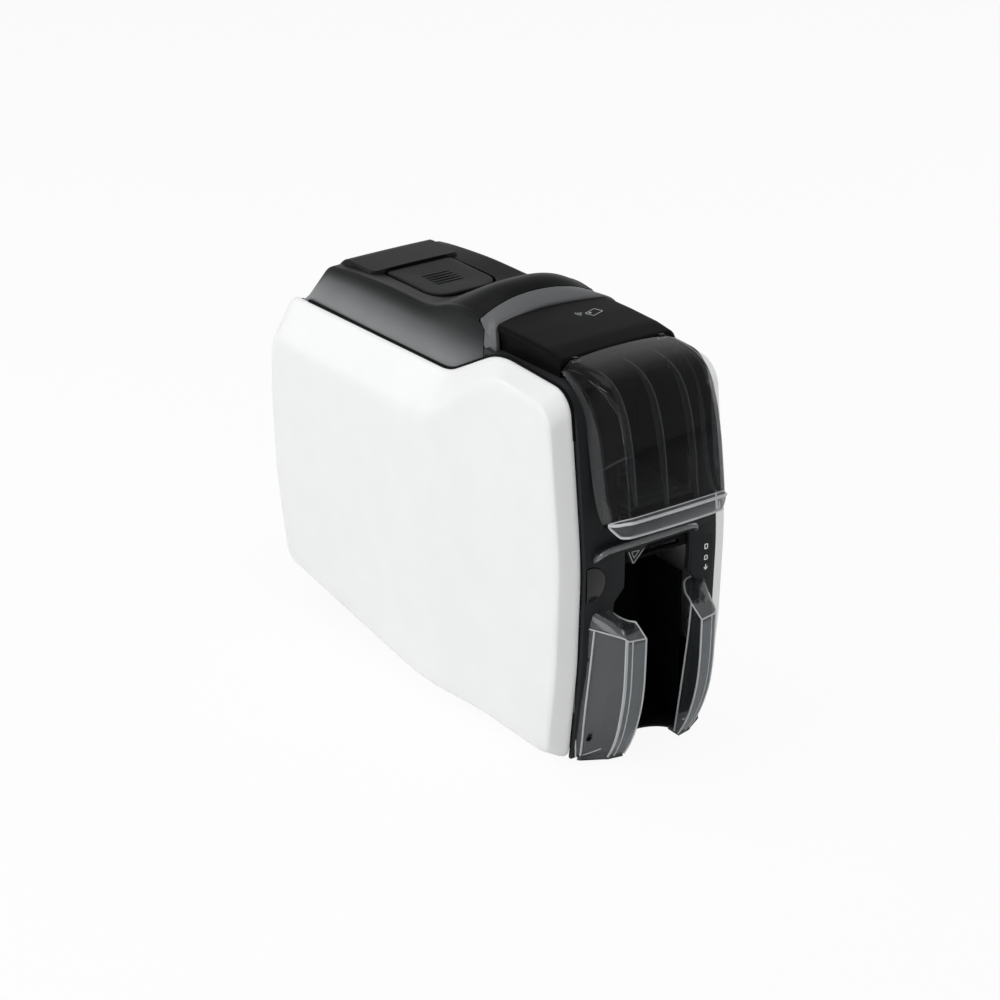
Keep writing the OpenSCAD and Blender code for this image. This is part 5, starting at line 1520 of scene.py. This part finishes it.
class Controls:
    """Status windows with their marks, the entry mark on its tab and the visor bar."""

    def build(self) -> None:
        """Makes the small front details."""
        lights = Shell()
        for z in (142.9, 134.6, 127.2):
            lights.rod((47.6, z), 2.6, -169.1, -167.6, 1)
        dress(Bench.eased(lights.made("status_windows"), 0.3, 2), Finish.PIANO, "base",
              ["status_lights"])
        self._panel("status_field", [(39.0, 119.6, 3.0), (54.6, 120.6, 1.5), (54.6, 151.5, 1.5), (34.4, 151.5, 4.0),
                                     (34.4, 127.0, 3.0)], (-168.8, -165.4), 0.6, 3)
        marks = self._marks(
            -169.15,
            ([(46.4, 144.6), (46.4, 141.2), (48.8, 141.2), (48.8, 144.6), (46.4, 144.6)], 0.6),
            ([(46.4, 133.0), (46.4, 135.4), (47.6, 136.2), (48.8, 135.4), (48.8, 133.0), (46.4, 133.0)], 0.6),
            ([(47.6, 129.2), (47.6, 125.6)], 0.6),
            ([(46.2, 127.2), (47.6, 125.4), (49.0, 127.2)], 0.6),
        )
        dress(marks.made("status_marks"), Finish.LIGHT, "base")
        self._panel("entry_tab", [(-21.5, 158.6, 1.0), (-15.0, 143.4, 3.0), (-1.0, 158.6, 1.0)], (-166.9, -165.0),
                    0.4, 2)
        marks = self._marks(
            -166.9,
            ([(-18.4, 155.6), (-14.6, 146.2), (-5.6, 155.0)], 0.6),
            ([(-16.0, 155.2), (-14.0, 150.2), (-9.6, 154.8), (-16.0, 155.2)], 0.5),
        )
        dress(marks.made("entry_mark"), Finish.PRINT_ICON, "base")
        self._visor()

    @staticmethod
    def _panel(name: str, corners: Sequence[Corner], deep: Point, ease: float, segments: int) -> None:
        """A thin upright panel on the fascia."""
        panel = Shell().prism(rounded(corners, 8), *deep, 1).made(name)
        dress(Bench.eased(panel, ease, segments), Finish.FASCIA, "base")

    @staticmethod
    def _marks(y: float, *lines: tuple[Sequence[Point], float]) -> Shell:
        """Lines of a given width on an upright plane, as thin raised strips."""
        marks = Shell()
        for points, width in lines:
            p = np.array(points, float)
            for a, b in zip(p[:-1], p[1:]):
                side = np.array([-(b - a)[1], (b - a)[0]]) / np.linalg.norm(b - a) * width / 2
                marks.prism(np.array([a + side, b + side, b - side, a - side]), y - 0.12, y + 0.1, 1)
        return marks

    def _visor(self) -> None:
        """The bowed bar over the single-card slot, hooked down at its ends."""
        path = traced([(-50.0, -169.6, 158.8), (-49.4, -172.0, 161.2), (-47.0, -174.2, 164.0), (-42.0, -175.2, 165.9),
                       (-24.0, -176.0, 166.6), (-6.0, -176.3, 166.9), (12.0, -176.0, 166.7), (29.0, -175.2, 165.9),
                       (34.0, -174.2, 164.2), (36.4, -172.0, 161.4), (37.0, -169.6, 158.8)], 64)
        ring = circle(20)
        tall = np.interp(np.linspace(0, 1, len(path)), [0, 0.1, 0.5, 0.9, 1], [1.3, 2.0, 2.5, 2.0, 1.3])
        deep, high = np.tile(1.5 * ring[:, 0], (len(path), 1)), np.outer(tall, ring[:, 1])
        rings = path[:, None] + np.stack([np.zeros_like(high), deep, high], -1)
        bar = Shell().sleeve(rings).made("visor_bar")
        dress(bar, Finish.RIB, "base", ["feed_visor"], ROUNDED)
        inner = path + [0.0, 1.0, 0.6]
        foot = inner * [1, 0, 1] + [0.0, -165.0, 0.0]
        web = Shell().bar(np.array([inner, foot, foot - [0, 0, 1.4], inner - [0, 0, 1.4]]))
        dress(web.made("visor_web"), Finish.FASCIA, "base", (), ROUNDED)


@dataclass(frozen=True)
class Carried:
    """A frame node whose shape stays, with softened edges and a finish."""

    node: str
    name: str
    finish: Finish
    body: str
    slot: str
    ease: float = 0.0


CARRIED: tuple[Carried, ...] = (
    *(Carried(*row) for row in (
        ("base_tray", "base_moulding", Finish.BLACK, "base", "black_shell", 0.5),
        ("feet", "rubber_feet", Finish.RUBBER, "base", "rubber", 0.8),
        ("chassis_left", "chassis_plate_left", Finish.SHEET, "base", "sheet_steel"),
        ("chassis_right", "chassis_plate_right", Finish.SHEET, "base", "sheet_steel"),
        ("cross_bars", "chassis_cross_bars", Finish.STEEL, "base", "steel"),
        ("chassis_screws", "chassis_screw_set", Finish.STEEL, "base", "steel"),
        ("lid_seat_frame", "lid_seat_moulding", Finish.BLACK, "base", "black_shell", 0.4),
        ("front_fascia", "fascia_moulding", Finish.FASCIA, "base", "black_shell", 0.6),
        ("lid_hinge_pins", "lid_hinge_pin_pair", Finish.STEEL, "base", "steel", 0.3),
        ("door_hinge_pins", "hood_hinge_pin_pair", Finish.STEEL, "base", "steel", 0.3),
        ("input_bin", "card_input_bin", Finish.PIT, "base", "black_shell", 0.4),
        ("feed_slot_plate", "feed_slot_plate_moulding", Finish.BLACK, "base", "grey_trim", 0.3),
        ("idler_axles", "idler_axle_set", Finish.STEEL, "base", "steel"),
        ("main_motor", "drive_motor", Finish.SHEET, "base", "sheet_steel", 0.4),
        ("ribbon_motors", "ribbon_motor_pair", Finish.SHEET, "base", "sheet_steel", 0.4),
        ("ribbon_film", "dye_film", Finish.FILM, "base", "film"),
        ("card_rails", "card_rail_pair", Finish.BLACK, "base", "black_shell", 0.3),
        ("main_board", "control_board", Finish.BOARD, "base", "circuit_board"),
        ("board_ports", "port_shells", Finish.SHEET, "base", "sheet_steel", 0.2),
        ("power_inlet", "inlet_socket", Finish.BLACK, "base", "black_shell", 0.3),
        ("fan_bracket", "fan_plate", Finish.SHEET, "base", "sheet_steel"),
        ("fan_frame", "fan_housing", Finish.BLACK, "base", "black_shell", 0.4),
        ("latch_pivot", "latch_pivot_bracket", Finish.SHEET, "lid", "sheet_steel"),
        ("print_head", "print_head_glaze", Finish.HEAD, "lid", "head_ceramic", 0.3),
        ("head_carrier", "head_carrier_moulding", Finish.BLACK, "lid", "black_shell", 0.5),
        ("head_heat_sink", "head_fins", Finish.ALUMINIUM, "lid", "heat_sink", 0.2),
        ("latch_lever", "latch_arm_lever", Finish.GEAR, "latch_arm", "gear_plastic", 0.3),
        ("card_weight", "card_pusher_weight", Finish.TRIM, "weight", "grey_trim", 0.5),
        ("power_button", "power_key_cap", Finish.PIANO, "power_key", "black_shell", 0.5),
        ("fan_rotor", "fan_blades", Finish.BLACK, "fan", "black_shell"),
        ("motor_pinion", "pinion_gear", Finish.BRASS, "pinion", "steel"),
    )),
    *(Carried(f"{place}_idler", f"{place}_idler_wheel", Finish.GEAR, f"{place}_idler_gear", "gear_plastic")
      for place in ("kick", "feed", "transport", "exit", "motor")),
)


class CarriedParts:
    """The pieces whose frame shape is right already."""

    def build(self) -> None:
        """Copies, softens and dresses each one."""
        for part in CARRIED:
            piece = Bench.copied(part.node, part.name)
            if part.ease:
                Bench.eased(piece, part.ease, 2)
            dress(piece, part.finish, part.body, [part.node])


@dataclass
class RearPanel:
    """The bowed back: a pierced plate with vent slats, port openings, the inlet's rim and its screws."""

    half: float = 56.4
    wall: float = 2.8
    bow: tuple[Point, ...] = (
        (60.5, 186.6), (80.0, 191.0), (105.0, 194.9), (140.0, 197.1), (172.0, 197.9), (200.0, 197.1),
        (222.0, 195.2), (233.3, 190.2),
    )
    vent: tuple[float, float, float, float] = (-20.0, 30.0, 115.0, 192.0)
    ports: tuple[tuple[float, float, float, float], ...] = (
        (43.0, 56.0, 65.3, 77.7), (43.0, 56.0, 87.3, 101.7),
    )
    inlet: Point = (-42.0, 70.0)
    inlet_half: float = 7.0

    def depth(self, z: np.ndarray | float) -> np.ndarray:
        """Depth of the face at a height."""
        return read(self.bow, z)

    def loop(self, flat: np.ndarray, out: float) -> np.ndarray:
        """A flat outline laid on the face, or out from it."""
        return stood(flat, self.depth(flat[:, 1]) + out, 1)

    def build(self) -> None:
        """Makes the plate and what sits on it."""
        x, z = self.inlet
        half = self.inlet_half
        square = (x - half, x + half, z - half, z + half)
        plate = Shell().pierced(
            np.linspace(-self.half, self.half, 24), np.linspace(self.bow[0][0], self.bow[-1][0], 40),
            lambda a, b: (a, float(self.depth(b)), b), (self.vent, *self.ports, square),
        ).made("rear_plate", False)
        Bench.walled(Bench.turned_to(plate, BEHIND), self.wall)
        Bench.eased(plate, 0.5, 2, 50.0)
        dress(plate, Finish.DARK, "base", ["rear_panel"], FOLDED)
        self._slats()
        self._inlet()
        places = [(side * 50.0, float(self.depth(high)) - 0.1, high) for side in (-1, 1) for high in (208.0, 122.0)]
        Screw.set("rear_screws", places, [BEHIND] * 4, Finish.STEEL, "base", "steel")

    def _slats(self) -> None:
        """Tilted slats across the vent and its raised surround."""
        left, right, low, high = self.vent
        bar = Shell().prism(rounded([(-2.2, -2.6, 0.8), (2.4, 0.6, 0.8), (2.4, 3.2, 0.8), (-2.2, 0.0, 0.8)], 5),
                            left - 0.4, right + 0.4, 0).made("slat")
        start = (0.0, float(self.depth(low)) - 2.8, low + 6.0)
        count = 9
        rise = (float(self.depth(high)) - float(self.depth(low))) / count
        slats = Repeat.row("rear_vent_slats", bar, Finish.BLACK, count, start, (0.0, rise, (high - low - 10.0) / 8.4))
        dress(slats, Finish.BLACK, "base", (), FOLDED)
        rim = 3.2
        outer = oblong(left - rim, right + rim, low - rim, high + rim, 4, 8, 20)
        inner = oblong(left, right, low, high, 1.5, 8, 20)
        levels = [self.loop(ring, out) for ring, out in
                  ((outer, -0.6), (outer, 0.35), (outer * 0.5 + inner * 0.5, 0.9), (inner, 0.5), (inner, -2.0))]
        frame = Shell().grid(np.array(levels), wrap=True, close=True)
        dress(frame.made("rear_vent_surround"), Finish.DARK, "base", (), 50.0)

    def _inlet(self) -> None:
        """The round rim of the power inlet in its square insert."""
        ways = circle(48)
        square = ways * (self.inlet_half / np.abs(ways).max(axis=1))[:, None]
        levels = [
            self.loop(np.array(self.inlet) + flat, out) for flat, out in
            ((square, 0.0), (ways * 6.9, 0.0), (ways * 6.6, 0.9), (ways * 5.6, 0.9), (ways * 5.4, 0.2),
             (ways * 5.4, -3.0), (square, -3.0))
        ]
        rim = Shell().grid(np.array(levels), wrap=True, close=True).made("inlet_rim")
        dress(rim, Finish.BLACK, "base", (), FOLDED)


@dataclass(frozen=True)
class Turned:
    """A rotating node whose shaft, sleeve and gear are of different stuff."""

    node: str
    name: str
    body: str
    slot: str
    sleeve: Finish
    journal: float
    gear_end: float | None = None
    cheeks: float | None = None
    middle: float = 5.0

    def build(self) -> None:
        """Copies the node, softens it and gives each part its finish."""
        piece = Bench.copied(self.node, self.name)
        Bench.eased(piece, 0.2, 2)
        dress(piece, self.sleeve, self.body, [self.node])
        corners = np.array([corner[:] for corner in piece.bound_box]) * MM
        centre = (corners.max(0) + corners.min(0)) / 2
        steel, gear = 1, 2
        for finish in (Finish.STEEL, Finish.GEAR):
            piece.data.materials.append(finish.material)
        for face in piece.data.polygons:
            x, y, z = (c * MM for c in face.center)
            if self.gear_end is not None and x < self.gear_end:
                face.material_index = gear
            elif math.hypot(y - centre[1], z - centre[2]) < self.journal + 0.15:
                face.material_index = steel
            elif self.cheeks is not None and abs(x - self.middle) >= self.cheeks:
                face.material_index = gear


TURNED: tuple[Turned, ...] = (
    *(Turned(f"{place}_roller", f"{place}_roller_set", f"{place}_shaft", "rubber", Finish.RUBBER, 3.0, -27.4)
      for place in ("kick", "feed", "transport", "platen", "exit")),
    Turned("cleaning_roller", "cleaning_roller_sleeve", "cleaning_axle", "rubber", Finish.CLEANING, 2.6),
    *(Turned(f"{place}_pinch_roller", f"{place}_pinch_sleeve", f"{place}_pinch_axle", "rubber", Finish.RUBBER, 2.6)
      for place in ("front", "rear")),
    *(Turned(f"{place}_spool", f"film_{place}_spool", place, "film", Finish.FILM, 3.0, None, 27.7)
      for place in ("supply", "takeup")),
)


class Mechanism:
    """Rollers and spools, and the small parts round the drive, the head and the board."""

    def build(self) -> None:
        """Makes them all."""
        for part in TURNED:
            part.build()
        self._motor_cans()
        self._head_details()
        self._board_parts()

    @staticmethod
    def _motor_cans() -> None:
        """End caps and bearing bosses on the three motors."""
        caps, motor = Shell(), (20.0, 124.0)
        caps.rod(motor, 14.5, 12.8, 14.0, 0, 40).rod(motor, 4.6, 13.6, 16.0, 0, 28)
        for y, z in ((60.0, 212.0), (-18.0, 212.0)):
            caps.rod((y, z), 4.0, 54.6, 55.6, 0, 28)
        dress(Bench.eased(caps.made("motor_caps"), 0.4, 2), Finish.SHEET, "base")
        places = [(12.9, motor[0] + 15.8 * math.cos(a), motor[1] + 15.8 * math.sin(a)) for a in (0.8, 3.94)]
        Screw.set("motor_screws", places, [(1.0, 0.0, 0.0)] * 2, Finish.STEEL, "base", "steel", 1.4)

    @staticmethod
    def _head_details() -> None:
        """The head's contact row, its carrier's ribs and its screws."""
        pin = Shell().box((-0.28, 0.28), (-0.5, 0.5), (0.0, 2.6)).made("pin")
        pins = Repeat.row("head_contacts", pin, Finish.BRASS, 24, (-9.9, 12.6, 193.2), (1.3, 0.0, 0.0))
        dress(pins, Finish.BRASS, "lid", (), FOLDED)
        rib = Shell().box((-0.7, 0.7), (-1.6, 0.2), (0.0, 64.0)).made("rib")
        Bench.eased(rib, 0.3, 2)
        ribs = Repeat.row("carrier_ribs", rib, Finish.BLACK, 5, (-15.0, 13.0, 202.0), (10.0, 0.0, 0.0))
        dress(ribs, Finish.BLACK, "lid", (), FOLDED)
        places = [(x, 12.9, 232.0) for x in (-20.0, 30.0)]
        Screw.set("carrier_screws", places, [AHEAD] * 2, Finish.STEEL, "lid", "steel", 1.6)

    @staticmethod
    def _board_parts() -> None:
        """Chips and capacitors on the control board's inner face."""
        chips = Shell()
        for y, z, wide, tall in ((92.0, 84.0, 14.0, 14.0), (122.0, 66.0, 9.0, 12.0), (126.0, 100.0, 10.0, 7.0)):
            chips.box((35.9, 37.3), (y - wide / 2, y + wide / 2), (z - tall / 2, z + tall / 2))
        dress(Bench.eased(chips.made("board_chips"), 0.2, 2), Finish.BLACK, "base")
        can = Shell().rod((0, 0), 3.0, 0.0, 7.0, 2, 24).made("can")
        Bench.eased(can, 0.5, 2)
        places = [(37.3, 76.0, 60.0 + 9.0 * k) for k in range(3)]
        cans = Repeat.scattered("board_capacitors", can, Finish.ALUMINIUM, places, [(-1.0, 0.0, 0.0)] * 3)
        dress(cans, Finish.ALUMINIUM, "base", (), FOLDED)


@dataclass
class Studio:
    """Camera, pale floor and soft light."""

    spot: Corner = (-1160.3, -1601.7, 1026.2)
    yaw: float = 35.79
    pitch: float = 24.42
    lens: float = 108.0
    sensor: float = 36.0
    plain: float = 0.25
    world_gloss: float = 0.7
    floor_gloss: float = 0.3
    floor_white: float = 0.93
    floor_edge: float = 4000.0

    def build(self) -> None:
        """Makes the stage."""
        scene = bpy.context.scene
        scene.view_settings.view_transform = "Standard"
        camera = bpy.data.cameras.new("camera")
        camera.lens, camera.sensor_width = self.lens, self.sensor
        camera.clip_start, camera.clip_end = 0.05, 50.0
        scene.camera = linked("camera", camera)
        scene.camera.location = metres(self.spot)
        scene.camera.rotation_euler = Euler((math.radians(90 - self.pitch), 0, -math.radians(self.yaw)))
        self._world()
        self._floor()
        self._lamps()

    @staticmethod
    def _seen(tree: ShaderTree, mirror: float) -> Term:
        """1 where a ray comes from the camera or clear plastic, less where it comes from a gloss."""
        kinds = ("Is Camera Ray", "Is Glossy Ray", "Is Transmission Ray")
        eye, gloss, passed = (tree.add("ShaderNodeLightPath", out=kind) for kind in kinds)
        return eye.most(gloss * mirror).most(passed)

    def _world(self) -> None:
        """White to the eye, a plain level of light otherwise."""
        tree = ShaderTree("studio", True)
        plain, white = (tree.add("ShaderNodeBackground", {}, {"Color": (1.0, 1.0, 1.0), "Strength": strength})
                        for strength in (self.plain, 1.0))
        bpy.context.scene.world = tree.finish(tree.blended(self._seen(tree, self.world_gloss), plain, white))

    def _floor(self) -> None:
        """A wide pale floor that keeps the printer's shadow."""
        ends = (-self.floor_edge, self.floor_edge)
        corners = np.array([[(x, y, 0.0) for x in ends] for y in ends])
        floor = Shell().grid(corners).made("floor")
        tree = ShaderTree("studio_floor")
        paper = tree.noise(tree.place(), 400.0, 1.0)
        shader = tree.surface(base_color=(0.93, 0.93, 0.93), roughness=paper * 0.05 + 0.8, specular_ior_level=0.1)
        white = tree.add("ShaderNodeEmission", {}, {"Color": (1.0, 1.0, 1.0), "Strength": 1.0}, out="Emission")
        share = self._seen(tree, self.floor_gloss) * self.floor_white
        floor.data.materials.append(tree.finish(tree.blended(share, shader, white)))

    @staticmethod
    def _lamps() -> None:
        """Large soft lamps: overhead, to the left, behind on the left and to the right."""
        for name, spot, aim, size, power in (
            ("overhead", (-300, 200, 1900), (0, 0, 100), (1300, 1300), 10.0),
            ("left_wall", (-1900, -850, 700), (0, 0, 150), (1900, 1100), 9.0),
            ("left_high", (-1560, 160, 1220), (0, 0, 180), (760, 300), 4.0),
            ("left_low", (-1760, 160, 760), (0, 0, 180), (760, 300), 4.0),
            ("rear_left", (-1100, 1500, 950), (0, 0, 200), (1200, 700), 5.0),
            ("right_wall", (1900, -700, 700), (0, 0, 150), (1600, 1000), 14.0),
        ):
            lamp = bpy.data.lights.new(name, "AREA")
            lamp.shape = "RECTANGLE"
            lamp.size, lamp.size_y = metres(size)
            lamp.energy = power
            holder = linked(name, lamp)
            holder.location = metres(spot)
            holder.rotation_euler = (Vector(aim) - Vector(spot)).to_track_quat("-Z", "Y").to_euler()


def main() -> None:
    """Builds the printer over its frame."""
    logging.basicConfig(level=logging.INFO, format="%(name)s %(message)s")
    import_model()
    Studio().build()
    for part in (SidePanels(), Lid(), HeadCover(), Hood(), Wings(), OutputBin(), Controls(), RearPanel(),
                 Mechanism(), CarriedParts()):
        part.build()
        log.info("%s done", type(part).__name__)


if __name__ == "__main__":
    main()
